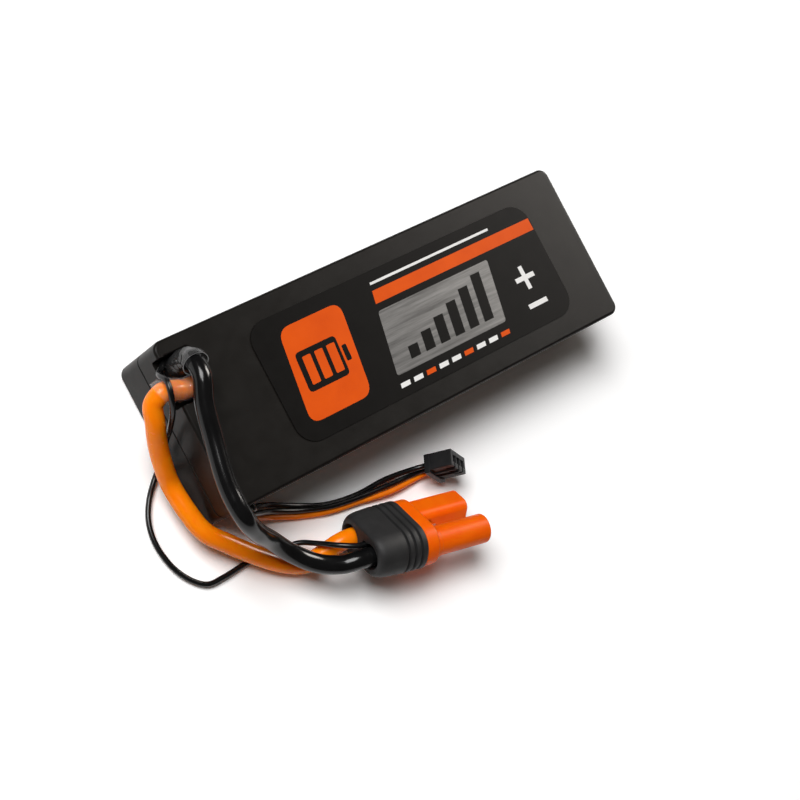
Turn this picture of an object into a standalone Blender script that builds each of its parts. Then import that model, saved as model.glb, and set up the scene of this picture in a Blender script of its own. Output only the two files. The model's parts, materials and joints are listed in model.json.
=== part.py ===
# Hard-case battery pack with leads, sizes in metres, Z up, origin at the middle of the case's bottom
import math

import bmesh
import bpy
from mathutils import Matrix, Vector

MM = 0.001

# Clearance between pieces that touch
GAP = 0.3 * MM

# Case
CASE_LENGTH = 138.0 * MM
CASE_WIDTH = 47.0 * MM
CASE_HEIGHT = 25.0 * MM
CASE_WALL = 1.5 * MM
CASE_EDGE = 0.9 * MM
CASE_CORNER = 2.8 * MM
SEAM_ROOM = 0.8 * MM
SEAM_GROOVE = 0.3 * MM
LIP_HEIGHT = 1.2 * MM
LIP_WALL = 0.7 * MM

# Pocket that the leads come out of, in the top of the lead end
POCKET_DEPTH = 9.0 * MM
POCKET_WIDTH = 13.4 * MM
POCKET_SIDE = 4.1 * MM
POCKET_DROP = 9.5 * MM
NOTCH_DROP = 4.3 * MM
BALANCE_SLOT_INSET = 6.0 * MM
BALANCE_SLOT_DROP = 7.4 * MM
BALANCE_SLOT_LENGTH = 7.2 * MM
BALANCE_SLOT_HEIGHT = 3.4 * MM

# Printed label
LABEL_LENGTH = 98.8 * MM
LABEL_WIDTH = 34.7 * MM
LABEL_OFFSET = 5.6 * MM
LABEL_CORNER = 6.0 * MM
LABEL_THICK = 0.2 * MM

# Cells and pads
CELL_SIDE = 0.8 * MM
LEAD_ROOM = 16.3 * MM
CELL_EDGE = 1.6 * MM
PAD_THICK = 0.6 * MM
TAB_WIDTH = 8.0 * MM
TAB_THICK = 0.4 * MM
TAB_REACH = 5.0 * MM
TAB_INSET = 6.2 * MM

# Circuit board
BOARD_SIDE = 2.2 * MM
BOARD_ROOM = 2.5 * MM
BOARD_THICK = 1.2 * MM
CHIP_SIDE = 5.0 * MM
CHIP_THICK = 1.2 * MM
SHEET_THICK = 0.4 * MM
SENSOR_RADIUS = 0.9 * MM

# Leads and wires
LEAD_DIAMETER = 5.2 * MM
WIRE_DIAMETER = 1.5 * MM
SLEEVE_GAP = 0.2 * MM
SLEEVE_WALL = 0.2 * MM
SLEEVE_FLARE = 0.6 * MM
LEAD_STEP = 0.72 * LEAD_DIAMETER
FLOOR = 0.3 * MM

# Main connector
BARREL_RADIUS = 4.1 * MM
BARREL_LENGTH = 17.8 * MM
BARREL_SPACING = 11.6 * MM
KEYED_HEIGHT = 7.2 * MM
FLANGE_LENGTH = 21.6 * MM
FLANGE_HEIGHT = 12.4 * MM
FLANGE_THICK = 3.8 * MM
BOOT_LENGTH = 14.7 * MM
BOOT_FRONT_LENGTH = 22.2 * MM
BOOT_FRONT_HEIGHT = 13.2 * MM
BOOT_END_LENGTH = 20.2 * MM
BOOT_END_HEIGHT = 11.8 * MM
BOOT_HOLE_RADIUS = 3.2 * MM
BOOT_HOLE_SPACING = 9.8 * MM
DATA_HOLE_ACROSS = 1.7 * MM
DATA_HOLE_UP = 2.0 * MM
SOCKET_RADIUS = 2.9 * MM
SOCKET_BORE = 2.5 * MM
CONTACT_LENGTH = 8.0 * MM

# Balance plug
PLUG_PITCH = 2.5 * MM
PLUG_WIDTH = 9.8 * MM
PLUG_HEIGHT = 5.6 * MM
PLUG_LENGTH = 8.2 * MM
PLUG_SLOT = 1.5 * MM
PLUG_FLANGE = 0.8 * MM

# Sizes that follow from those above
END = -CASE_LENGTH / 2
SIDE = -CASE_WIDTH / 2
TOP = CASE_HEIGHT
INNER_END = END + CASE_WALL
INNER_TOP = TOP - CASE_WALL
LEAD_RADIUS = LEAD_DIAMETER / 2
WIRE_RADIUS = WIRE_DIAMETER / 2
SLEEVE_INNER = LEAD_RADIUS + SLEEVE_GAP
SLEEVE_OUTER = SLEEVE_INNER + SLEEVE_WALL
POCKET_Y1 = CASE_WIDTH / 2 - POCKET_SIDE
POCKET_Y0 = POCKET_Y1 - POCKET_WIDTH
POCKET_X1 = END + POCKET_DEPTH
POCKET_FLOOR = TOP - POCKET_DROP
SEAM_HEIGHT = POCKET_FLOOR - CASE_WALL - SEAM_ROOM
NOTCH_Z = TOP - NOTCH_DROP
BLACK_X = POCKET_X1 - SLEEVE_OUTER - GAP
BLACK_Y = POCKET_Y1 - SLEEVE_OUTER - GAP
ORANGE_Y = BLACK_Y - 2 * SLEEVE_OUTER - GAP
ORANGE_IN = Vector((POCKET_X1 + 0.2 * MM, ORANGE_Y, POCKET_FLOOR + LEAD_RADIUS + 2.8 * MM))
ORANGE_OUT = Vector((END, ORANGE_Y, NOTCH_Z + SLEEVE_OUTER + 1.6 * MM))
DATA_X = INNER_END + WIRE_RADIUS + GAP
DATA_Y = POCKET_Y1 - WIRE_RADIUS - GAP
SLOT_X = END + BALANCE_SLOT_INSET
SLOT_Z = TOP - BALANCE_SLOT_DROP
CELL_END = CASE_LENGTH / 2 - CASE_WALL - PAD_THICK - 2 * GAP
CELL_START = END + LEAD_ROOM
CELL_LENGTH = CELL_END - CELL_START
CELL_WIDTH = CASE_WIDTH - 2 * (CASE_WALL + CELL_SIDE)
CELL_HEIGHT = (CASE_HEIGHT - 2 * CASE_WALL - 3 * PAD_THICK - 6 * GAP) / 2
BOTTOM_PAD_Z = CASE_WALL + GAP
LOWER_CELL_Z = BOTTOM_PAD_Z + PAD_THICK + GAP
SPACER_Z = LOWER_CELL_Z + CELL_HEIGHT + GAP
UPPER_CELL_Z = SPACER_Z + PAD_THICK + GAP
TOP_PAD_Z = UPPER_CELL_Z + CELL_HEIGHT + GAP
REST = FLOOR + LEAD_RADIUS
WIRE_REST = FLOOR + WIRE_RADIUS

# The main connector lies rolled on its keyed barrel, nose towards +X
FLANGE_AT = Vector((END + 50.4 * MM, SIDE - 27.0 * MM, 10.2 * MM))
CONNECTOR_YAW = math.radians(-12.4)
CONNECTOR_PITCH = math.radians(1.3)
CONNECTOR_ROLL = math.radians(-44.7)
CONNECTOR = (
    Matrix.Translation(FLANGE_AT)
    @ Matrix.Rotation(CONNECTOR_YAW, 4, "Z")
    @ Matrix.Rotation(CONNECTOR_PITCH, 4, "Y")
    @ Matrix.Rotation(CONNECTOR_ROLL, 4, "X")
)
# The balance plug stands nose up on its wires
PLUG_AT = Vector((END + 70.6 * MM, SIDE - 15.6 * MM, 8.6 * MM))
PLUG = (
    Matrix.Translation(PLUG_AT)
    @ Matrix.Rotation(math.radians(-20.8), 4, "Z")
    @ Matrix.Rotation(math.radians(-53.6), 4, "Y")
    @ Matrix.Rotation(math.radians(77.5), 4, "X")
)


def clear_scene():
    for item in list(bpy.data.objects):
        bpy.data.objects.remove(item, do_unlink=True)


def make_material(name, colour, roughness, metallic=0.0):
    material = bpy.data.materials.new(name)
    material.use_nodes = True
    shader = material.node_tree.nodes["Principled BSDF"]
    shader.inputs["Base Color"].default_value = (*colour, 1.0)
    shader.inputs["Roughness"].default_value = roughness
    shader.inputs["Metallic"].default_value = metallic
    return material


def add_mesh(name, bm, material, matrix=None):
    if matrix is not None:
        bm.transform(matrix)
    bmesh.ops.recalc_face_normals(bm, faces=bm.faces[:])
    mesh = bpy.data.meshes.new(name)
    bm.to_mesh(mesh)
    bm.free()
    if material is not None:
        mesh.materials.append(material)
    item = bpy.data.objects.new(name, mesh)
    bpy.context.scene.collection.objects.link(item)
    return item


def rounded_outline(half_x, half_y, radius, steps):
    # Counter-clockwise points round a rectangle with round corners
    radius = max(min(radius, half_x - 1e-6, half_y - 1e-6), 1e-5)
    points = []
    corners = ((1, 1, 0), (-1, 1, 90), (-1, -1, 180), (1, -1, 270))
    for sign_x, sign_y, start in corners:
        for step in range(steps + 1):
            angle = math.radians(start + 90.0 * step / steps)
            x = sign_x * (half_x - radius) + radius * math.cos(angle)
            y = sign_y * (half_y - radius) + radius * math.sin(angle)
            points.append((x, y))
    return points


def loft_mesh(rings):
    # Closed body through rings of equal length, capped at both ends
    bm = bmesh.new()
    rows = [[bm.verts.new(point) for point in ring] for ring in rings]
    count = len(rows[0])
    for lower, upper in zip(rows, rows[1:]):
        for index in range(count):
            after = (index + 1) % count
            bm.faces.new((lower[index], lower[after], upper[after], upper[index]))
    bm.faces.new(list(reversed(rows[0])))
    bm.faces.new(rows[-1])
    return bm


def edge_levels(low, high, radius, steps):
    # Height and inset pairs for a body with round lower and upper edges
    levels = []
    for step in range(steps + 1):
        angle = math.radians(90.0 * step / steps)
        levels.append((low + radius * (1 - math.sin(angle)), radius * (1 - math.cos(angle))))
    levels.reverse()
    upper = [(low + high - height, inset) for height, inset in reversed(levels)]
    return levels + upper


def rounded_body(size, centre, corner, edge, corner_steps=6, edge_steps=4):
    low = centre[2] - size[2] / 2
    high = centre[2] + size[2] / 2
    if edge > 0:
        levels = edge_levels(low, high, edge, edge_steps)
    else:
        levels = [(low, 0.0), (high, 0.0)]
    rings = []
    for height, inset in levels:
        outline = rounded_outline(size[0] / 2 - inset, size[1] / 2 - inset, corner - inset, corner_steps)
        rings.append([(centre[0] + x, centre[1] + y, height) for x, y in outline])
    return loft_mesh(rings)


def box_body(low, high):
    bm = bmesh.new()
    bmesh.ops.create_cube(bm, size=1.0)
    middle = [(a + b) / 2 for a, b in zip(low, high)]
    scale = [b - a for a, b in zip(low, high)]
    bm.transform(Matrix.Translation(middle) @ Matrix.Diagonal((*scale, 1.0)))
    return bm


def profile_body(points, low, high):
    # Outline in X and Z, drawn out along Y
    return loft_mesh([[(x, y, z) for x, z in points] for y in (low, high)])


def cylinder_body(radius, low, high, sides=24):
    rings = []
    for x in (low, high):
        ring = []
        for side in range(sides):
            angle = 2 * math.pi * side / sides
            ring.append((x, radius * math.cos(angle), radius * math.sin(angle)))
        rings.append(ring)
    return loft_mesh(rings)


def combine(target, tool, operation):
    # Exact boolean, with its tool kept out of the render
    tool.hide_render = True
    tool.display_type = "WIRE"
    modifier = target.modifiers.new("cut", "BOOLEAN")
    modifier.operation = operation
    modifier.solver = "EXACT"
    modifier.object = tool
    bpy.context.view_layer.update()
    graph = bpy.context.evaluated_depsgraph_get()
    mesh = bpy.data.meshes.new_from_object(target.evaluated_get(graph))
    target.modifiers.clear()
    target.data = mesh
    bpy.data.objects.remove(tool, do_unlink=True)


def tidy(item):
    # Merge stray points left by the booleans
    bm = bmesh.new()
    bm.from_mesh(item.data)
    bmesh.ops.remove_doubles(bm, verts=bm.verts[:], dist=1e-6)
    bmesh.ops.dissolve_degenerate(bm, edges=bm.edges[:], dist=1e-7)
    bmesh.ops.recalc_face_normals(bm, faces=bm.faces[:])
    bm.to_mesh(item.data)
    bm.free()


def cut(target, bm, matrix=None):
    combine(target, add_mesh("cutter", bm, None, matrix), "DIFFERENCE")


def join(target, bm, matrix=None):
    combine(target, add_mesh("joiner", bm, None, matrix), "UNION")


def smooth_route(points):
    # Dense points on a smooth curve through the route's own points
    dense = []
    padded = [points[0] * 2 - points[1]] + list(points) + [points[-1] * 2 - points[-2]]
    for index in range(1, len(padded) - 2):
        before, start, end, after = padded[index - 1:index + 3]
        knot_1 = max((start - before).length, 1e-9) ** 0.5
        knot_2 = knot_1 + max((end - start).length, 1e-9) ** 0.5
        knot_3 = knot_2 + max((after - end).length, 1e-9) ** 0.5
        for step in range(24):
            t = knot_1 + (knot_2 - knot_1) * step / 24
            a1 = before * ((knot_1 - t) / knot_1) + start * (t / knot_1)
            a2 = start * ((knot_2 - t) / (knot_2 - knot_1)) + end * ((t - knot_1) / (knot_2 - knot_1))
            a3 = end * ((knot_3 - t) / (knot_3 - knot_2)) + after * ((t - knot_2) / (knot_3 - knot_2))
            b1 = a1 * ((knot_2 - t) / knot_2) + a2 * (t / knot_2)
            b2 = a2 * ((knot_3 - t) / (knot_3 - knot_1)) + a3 * ((t - knot_1) / (knot_3 - knot_1))
            dense.append(b1 * ((knot_2 - t) / (knot_2 - knot_1)) + b2 * ((t - knot_1) / (knot_2 - knot_1)))
    dense.append(points[-1].copy())
    return dense


def even_points(dense, spacing):
    lengths = [0.0]
    for a, b in zip(dense, dense[1:]):
        lengths.append(lengths[-1] + (b - a).length)
    count = max(int(round(lengths[-1] / spacing)), 2)
    result = []
    index = 0
    for step in range(count + 1):
        target = lengths[-1] * step / count
        while index < len(dense) - 2 and lengths[index + 1] < target:
            index += 1
        span = max(lengths[index + 1] - lengths[index], 1e-12)
        result.append(dense[index].lerp(dense[index + 1], (target - lengths[index]) / span))
    return result


def add_cord(name, points, diameter, spacing, material):
    curve = bpy.data.curves.new(name, "CURVE")
    curve.dimensions = "3D"
    curve.bevel_depth = diameter / 2
    curve.bevel_resolution = 2
    curve.use_fill_caps = True
    spline = curve.splines.new("POLY")
    route = even_points(smooth_route(points), spacing)
    spline.points.add(len(route) - 1)
    for point, place in zip(spline.points, route):
        point.co = (*place, 1.0)
    curve.materials.append(material)
    item = bpy.data.objects.new(name, curve)
    bpy.context.scene.collection.objects.link(item)
    return item


def sweep_frames(route):
    # Rings' axes along a route, carried without twist
    frames = []
    side = None
    for index, place in enumerate(route):
        ahead = route[min(index + 1, len(route) - 1)]
        behind = route[max(index - 1, 0)]
        along = (ahead - behind).normalized()
        if side is None:
            side = along.orthogonal().normalized()
        side = (side - along * side.dot(along)).normalized()
        frames.append((place, side, along.cross(side)))
    return frames


def sleeve_body(frames, inner, outer, flare, sides=16):
    # Open tube with a wall along a stretch of a route, widening over its last two rings
    bm = bmesh.new()
    loops = []
    for index, (place, side, other) in enumerate(frames):
        grow = flare * max(0.0, (index + 3 - len(frames)) / 2)
        pair = []
        for radius in (outer + grow, inner + grow):
            ring = []
            for step in range(sides):
                angle = 2 * math.pi * step / sides
                outward = side * math.cos(angle) + other * math.sin(angle)
                ring.append(bm.verts.new(place + outward * radius))
            pair.append(ring)
        loops.append(pair)
    for first, second in zip(loops, loops[1:]):
        for layer in (0, 1):
            for index in range(sides):
                after = (index + 1) % sides
                near = (first[layer][index], first[layer][after])
                bm.faces.new((*near, second[layer][after], second[layer][index]))
    for pair in (loops[0], loops[-1]):
        for index in range(sides):
            after = (index + 1) % sides
            bm.faces.new((pair[0][index], pair[0][after], pair[1][after], pair[1][index]))
    return bm


def spot(y, z, *shift):
    # Place on a route, given in millimetres from the lead end at the named side and height
    return Vector((END, y, z)) + Vector(shift) * MM


clear_scene()

# Materials
shell_black = make_material("shell_black", (0.022, 0.022, 0.023), 0.42)
label_print = make_material("label_print", (0.012, 0.012, 0.013), 0.35)
pouch_silver = make_material("pouch_silver", (0.62, 0.62, 0.64), 0.35, 0.6)
foam_grey = make_material("foam_grey", (0.12, 0.12, 0.12), 0.9)
tab_nickel = make_material("tab_nickel", (0.66, 0.62, 0.55), 0.3, 1.0)
board_green = make_material("board_green", (0.02, 0.12, 0.05), 0.5)
chip_black = make_material("chip_black", (0.015, 0.015, 0.016), 0.5)
sheet_amber = make_material("sheet_amber", (0.55, 0.27, 0.05), 0.4)
silicone_black = make_material("silicone_black", (0.012, 0.012, 0.012), 0.38)
silicone_orange = make_material("silicone_orange", (0.9, 0.2, 0.012), 0.42)
sleeve_clear = make_material("sleeve_clear", (0.8, 0.8, 0.8), 0.2)
boot_grey = make_material("boot_grey", (0.05, 0.05, 0.055), 0.6)
housing_orange = make_material("housing_orange", (0.9, 0.16, 0.01), 0.4)
socket_gold = make_material("socket_gold", (0.85, 0.62, 0.25), 0.25, 1.0)
plug_black = make_material("plug_black", (0.03, 0.03, 0.032), 0.45)
contact_tin = make_material("contact_tin", (0.7, 0.7, 0.7), 0.3, 1.0)

# Whole case, hollow, before it is parted at the seam
case_size = (CASE_LENGTH, CASE_WIDTH, CASE_HEIGHT)
case_middle = (0.0, 0.0, CASE_HEIGHT / 2)
hollow_size = tuple(value - 2 * CASE_WALL for value in case_size)
hollow_corner = max(CASE_CORNER - CASE_WALL, 0.6 * MM)
hollow_edge = max(CASE_EDGE - CASE_WALL, 0.4 * MM)
far = CASE_LENGTH

# Lower tray with a lip that stands inside the upper shell
tray_body = rounded_body(case_size, case_middle, CASE_CORNER, CASE_EDGE)
lower_tray = add_mesh("lower_tray", tray_body, shell_black)
cut(lower_tray, box_body((-far, -far, SEAM_HEIGHT - SEAM_GROOVE / 2), (far, far, far)))
lip_inset = CASE_WALL + GAP / 2 - LIP_WALL
lip_size = (CASE_LENGTH - 2 * lip_inset, CASE_WIDTH - 2 * lip_inset, LIP_HEIGHT + SEAM_GROOVE)
lip_middle = (0.0, 0.0, SEAM_HEIGHT - SEAM_GROOVE / 2 + lip_size[2] / 2 - 0.2 * MM)
join(lower_tray, rounded_body(lip_size, lip_middle, CASE_CORNER - lip_inset, 0.0))
cut(lower_tray, rounded_body(hollow_size, case_middle, hollow_corner, hollow_edge))
tidy(lower_tray)

# Upper shell with its lead pocket, wire holes and balance wire slot
shell_body = rounded_body(case_size, case_middle, CASE_CORNER, CASE_EDGE)
upper_shell = add_mesh("upper_shell", shell_body, shell_black)
cut(upper_shell, box_body((-far, -far, -far), (far, far, SEAM_HEIGHT + SEAM_GROOVE / 2)))
hollow = add_mesh("hollow", rounded_body(hollow_size, case_middle, hollow_corner, hollow_edge), None)
keep_low = (-far, POCKET_Y0 - CASE_WALL, POCKET_FLOOR - CASE_WALL)
keep_high = (POCKET_X1 + CASE_WALL, POCKET_Y1 + CASE_WALL, far)
cut(hollow, box_body(keep_low, keep_high))
combine(upper_shell, hollow, "DIFFERENCE")
rebate_inset = lip_inset - GAP
rebate_size = (CASE_LENGTH - 2 * rebate_inset, CASE_WIDTH - 2 * rebate_inset, 2 * (LIP_HEIGHT + GAP))
rebate_middle = (0.0, 0.0, SEAM_HEIGHT + SEAM_GROOVE / 2)
cut(upper_shell, rounded_body(rebate_size, rebate_middle, CASE_CORNER - rebate_inset, 0.0))
cut(upper_shell, box_body((INNER_END, POCKET_Y0, POCKET_FLOOR), (POCKET_X1, POCKET_Y1, far)))
cut(upper_shell, box_body((-far, POCKET_Y0, NOTCH_Z), (INNER_END + GAP, POCKET_Y1, far)))
upright = Matrix.Rotation(math.radians(90), 4, "Y")
hole_span = CASE_WALL + GAP
black_hole = Matrix.Translation((BLACK_X, BLACK_Y, POCKET_FLOOR - CASE_WALL / 2)) @ upright
cut(upper_shell, cylinder_body(LEAD_RADIUS + GAP, -hole_span, hole_span), black_hole)
data_hole = Matrix.Translation((DATA_X, DATA_Y, POCKET_FLOOR - CASE_WALL / 2)) @ upright
cut(upper_shell, cylinder_body(WIRE_RADIUS + GAP * 0.7, -hole_span, hole_span, 16), data_hole)
orange_turn = Vector((1.0, 0.0, 0.0)).rotation_difference(ORANGE_IN - ORANGE_OUT).to_matrix().to_4x4()
orange_hole = Matrix.Translation(ORANGE_IN) @ orange_turn
cut(upper_shell, cylinder_body(LEAD_RADIUS + GAP, -2 * hole_span, 2 * hole_span), orange_hole)
slot_size = (BALANCE_SLOT_LENGTH, BALANCE_SLOT_HEIGHT, 2 * hole_span)
slot_place = Matrix.Translation((SLOT_X, SIDE, SLOT_Z)) @ Matrix.Rotation(math.radians(90), 4, "X")
cut(upper_shell, rounded_body(slot_size, (0.0, 0.0, 0.0), BALANCE_SLOT_HEIGHT * 0.49, 0.0, 4), slot_place)
tidy(upper_shell)

# Label on the top face
label_size = (LABEL_LENGTH, LABEL_WIDTH, LABEL_THICK)
label_middle = (LABEL_OFFSET, 0.0, TOP + 0.05 * MM + LABEL_THICK / 2)
add_mesh("top_label", rounded_body(label_size, label_middle, LABEL_CORNER, 0.0, 8), label_print)

# Cells, pads and tabs
cell_size = (CELL_LENGTH, CELL_WIDTH, CELL_HEIGHT)
for name, low in (("lower_cell", LOWER_CELL_Z), ("upper_cell", UPPER_CELL_Z)):
    cell_middle = ((CELL_START + CELL_END) / 2, 0.0, low + CELL_HEIGHT / 2)
    add_mesh(name, rounded_body(cell_size, cell_middle, CELL_EDGE, CELL_EDGE, 3, 3), pouch_silver)
pads = (
    ("bottom_pad", BOTTOM_PAD_Z),
    ("cell_spacer", SPACER_Z),
    ("top_pad", TOP_PAD_Z),
)
pad_half = CELL_WIDTH / 2 - CELL_EDGE
for name, low in pads:
    add_mesh(name, box_body((CELL_START, -pad_half, low), (CELL_END, pad_half, low + PAD_THICK)), foam_grey)
end_low = (CELL_END + GAP, -pad_half, LOWER_CELL_Z)
end_high = (CELL_END + GAP + PAD_THICK, pad_half, UPPER_CELL_Z + CELL_HEIGHT)
add_mesh("end_pad", box_body(end_low, end_high), foam_grey)
lower_tab_z = LOWER_CELL_Z + CELL_HEIGHT / 2
upper_tab_z = UPPER_CELL_Z + CELL_HEIGHT / 2
tab_end = CELL_START - GAP
half_tab = TAB_THICK / 2
lead_stop = POCKET_FLOOR - CASE_WALL


def bent_tab(low_x, level, high_z):
    # Strip from the cell's end that turns up to meet a lead
    return (
        (low_x, level - half_tab),
        (tab_end, level - half_tab),
        (tab_end, level + half_tab),
        (low_x + TAB_THICK, level + half_tab),
        (low_x + TAB_THICK, high_z),
        (low_x, high_z),
    )


negative_outline = bent_tab(BLACK_X - half_tab, lower_tab_z, lead_stop - GAP)
negative_body = profile_body(negative_outline, BLACK_Y - LEAD_RADIUS, BLACK_Y + LEAD_RADIUS)
add_mesh("negative_tab", negative_body, tab_nickel)
positive_low = POCKET_X1 + CASE_WALL + GAP
positive_outline = bent_tab(positive_low, upper_tab_z, ORANGE_IN.z + LEAD_RADIUS * 0.8)
positive_body = profile_body(positive_outline, ORANGE_Y - LEAD_RADIUS, ORANGE_Y + LEAD_RADIUS)
add_mesh("positive_tab", positive_body, tab_nickel)
tab_y0 = -CELL_WIDTH / 2 + TAB_INSET
tab_y1 = tab_y0 + TAB_WIDTH
for name, level in (("lower_series_tab", lower_tab_z), ("upper_series_tab", upper_tab_z)):
    tab_low = (tab_end - TAB_REACH, tab_y0, level - half_tab)
    tab_high = (tab_end, tab_y1, level + half_tab)
    add_mesh(name, box_body(tab_low, tab_high), tab_nickel)
link_high = tab_end - TAB_REACH - GAP
link_from = (link_high - TAB_THICK, tab_y0, lower_tab_z - half_tab)
link_to = (link_high, tab_y1, upper_tab_z + half_tab)
add_mesh("series_link", box_body(link_from, link_to), tab_nickel)

# Circuit board with its chip, insulating sheet and temperature sensor
board_x = INNER_END + GAP + BOARD_THICK / 2 + CHIP_THICK
board_low = (board_x - BOARD_THICK / 2, SIDE + CASE_WALL + BOARD_SIDE, CASE_WALL + BOARD_ROOM)
board_high = (board_x + BOARD_THICK / 2, POCKET_Y0 - CASE_WALL - GAP, INNER_TOP - BOARD_ROOM)
board_y = (board_low[1] + board_high[1]) / 2
board_z = (board_low[2] + board_high[2]) / 2
add_mesh("circuit_board", box_body(board_low, board_high), board_green)
chip_low = (board_high[0] + GAP * 0.3, board_y - CHIP_SIDE / 2, board_z - CHIP_SIDE / 2)
chip_high = (chip_low[0] + CHIP_THICK, board_y + CHIP_SIDE / 2, board_z + CHIP_SIDE / 2)
add_mesh("controller_chip", box_body(chip_low, chip_high), chip_black)
sheet_x = (chip_high[0] + link_high - TAB_THICK) / 2
sheet_low = (sheet_x - SHEET_THICK / 2, board_low[1], board_low[2])
sheet_high = (sheet_x + SHEET_THICK / 2, board_high[1], board_high[2])
add_mesh("insulating_sheet", box_body(sheet_low, sheet_high), sheet_amber)
sensor = cylinder_body(SENSOR_RADIUS, -SENSOR_RADIUS, SENSOR_RADIUS, 16)
sensor_place = Matrix.Translation((CELL_START - GAP - SENSOR_RADIUS, 0.0, upper_tab_z))
add_mesh("temperature_sensor", sensor, chip_black, sensor_place)

# Main connector: housing with two barrels, one of them keyed
along = Matrix(((0, 0, 1, 0), (1, 0, 0, 0), (0, 1, 0, 0), (0, 0, 0, 1)))


def section(length, height, low, high, matrix, corner, edge=0.0, steps=8):
    # Rounded section across the connector, given along its own axis
    bm = rounded_body((length, height, high - low), (0.0, 0.0, (low + high) / 2), corner, edge, steps, 3)
    bm.transform(along)
    bm.transform(matrix)
    return bm


barrel_start = FLANGE_THICK / 2
flange_corner = FLANGE_HEIGHT * 0.46
flange_size = (FLANGE_LENGTH, FLANGE_HEIGHT)
flange = section(*flange_size, -barrel_start, barrel_start, CONNECTOR, flange_corner, 0.5 * MM)
connector_housing = add_mesh("connector_housing", flange, housing_orange)
barrel_end = barrel_start + BARREL_LENGTH
barrels = (
    (1, KEYED_HEIGHT, 0.32 * KEYED_HEIGHT),
    (-1, 2 * BARREL_RADIUS, BARREL_RADIUS * 0.999),
)
for sign, height, corner in barrels:
    place = CONNECTOR @ Matrix.Translation((0.0, sign * BARREL_SPACING / 2, 0.0))
    join(connector_housing, section(2 * BARREL_RADIUS, height, 0.0, barrel_end, place, corner, 0.5 * MM))
web_half = BARREL_SPACING / 2
web_low = (barrel_start - GAP, -web_half, -1.2 * MM)
web_high = (barrel_start + BARREL_LENGTH * 0.3, web_half, 1.2 * MM)
join(connector_housing, box_body(web_low, web_high), CONNECTOR)
for sign in (1, -1):
    place = CONNECTOR @ Matrix.Translation((0.0, sign * BARREL_SPACING / 2, 0.0))
    cut(connector_housing, cylinder_body(SOCKET_RADIUS + GAP, -FLANGE_THICK, 2 * barrel_end, 24), place)
contact_low = (-FLANGE_THICK, -0.7 * MM, -0.5 * MM)
contact_high = (CONTACT_LENGTH, 0.7 * MM, 0.5 * MM)
slot_low = (contact_low[0], contact_low[1] - GAP, contact_low[2] - GAP)
slot_high = (2 * barrel_end, contact_high[1] + GAP, contact_high[2] + GAP)
cut(connector_housing, box_body(slot_low, slot_high), CONNECTOR)
tidy(connector_housing)

# Bullet sockets inside the barrels, open at the front
socket_back = -FLANGE_THICK / 2
socket_front = barrel_end - 1.5 * MM
for name, sign in (("positive_socket", 1), ("negative_socket", -1)):
    place = CONNECTOR @ Matrix.Translation((0.0, sign * BARREL_SPACING / 2, 0.0))
    socket = add_mesh(name, cylinder_body(SOCKET_RADIUS, socket_back, socket_front, 24), socket_gold, place)
    cut(socket, cylinder_body(SOCKET_BORE, socket_back + 3 * MM, 2 * barrel_end, 24), place)
    tidy(socket)
add_mesh(
    "data_contact",
    box_body((socket_back, contact_low[1], contact_low[2]), contact_high),
    contact_tin,
    CONNECTOR,
)

# Ribbed boot behind the flange, with a hole for each lead
boot_front = -FLANGE_THICK / 2 - GAP
boot_back = boot_front - BOOT_LENGTH
boot_profile = (
    (0.0, 0.9),
    (0.03, 1.0),
    (0.09, 1.0),
    (0.11, 0.25),
    (0.15, 0.25),
    (0.17, 1.0),
    (0.23, 1.0),
    (0.25, 0.2),
    (0.29, 0.2),
    (0.31, 0.97),
    (0.37, 0.95),
    (0.39, 0.12),
    (0.43, 0.12),
    (0.45, 0.92),
    (0.65, 0.75),
    (0.82, 0.5),
    (0.9, 0.2),
    (0.96, -0.35),
    (1.0, -1.1),
)
boot_rings = []
for share, swell in boot_profile:
    half_x = (BOOT_END_LENGTH + (BOOT_FRONT_LENGTH - BOOT_END_LENGTH) * swell) / 2
    half_y = (BOOT_END_HEIGHT + (BOOT_FRONT_HEIGHT - BOOT_END_HEIGHT) * swell) / 2
    outline = rounded_outline(half_x, half_y, half_y * 0.92, 8)
    boot_rings.append([(boot_front - BOOT_LENGTH * share, x, y) for x, y in outline])
connector_boot = add_mesh("connector_boot", loft_mesh(boot_rings), boot_grey, CONNECTOR)
for sign in (1, -1):
    place = CONNECTOR @ Matrix.Translation((0.0, sign * BOOT_HOLE_SPACING / 2, 0.0))
    cut(connector_boot, cylinder_body(BOOT_HOLE_RADIUS, boot_back - GAP, boot_front + GAP, 24), place)
data_hole_at = (0.0, -DATA_HOLE_ACROSS, DATA_HOLE_UP)
data_place = CONNECTOR @ Matrix.Translation(data_hole_at)
cut(connector_boot, cylinder_body(WIRE_RADIUS + GAP, boot_back - GAP, boot_front + GAP, 16), data_place)
tidy(connector_boot)


def boot_point(x, y, z=0.0):
    # Place where a lead reaches the connector, along and across its own axis
    return CONNECTOR @ Vector((x, y, z))


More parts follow.
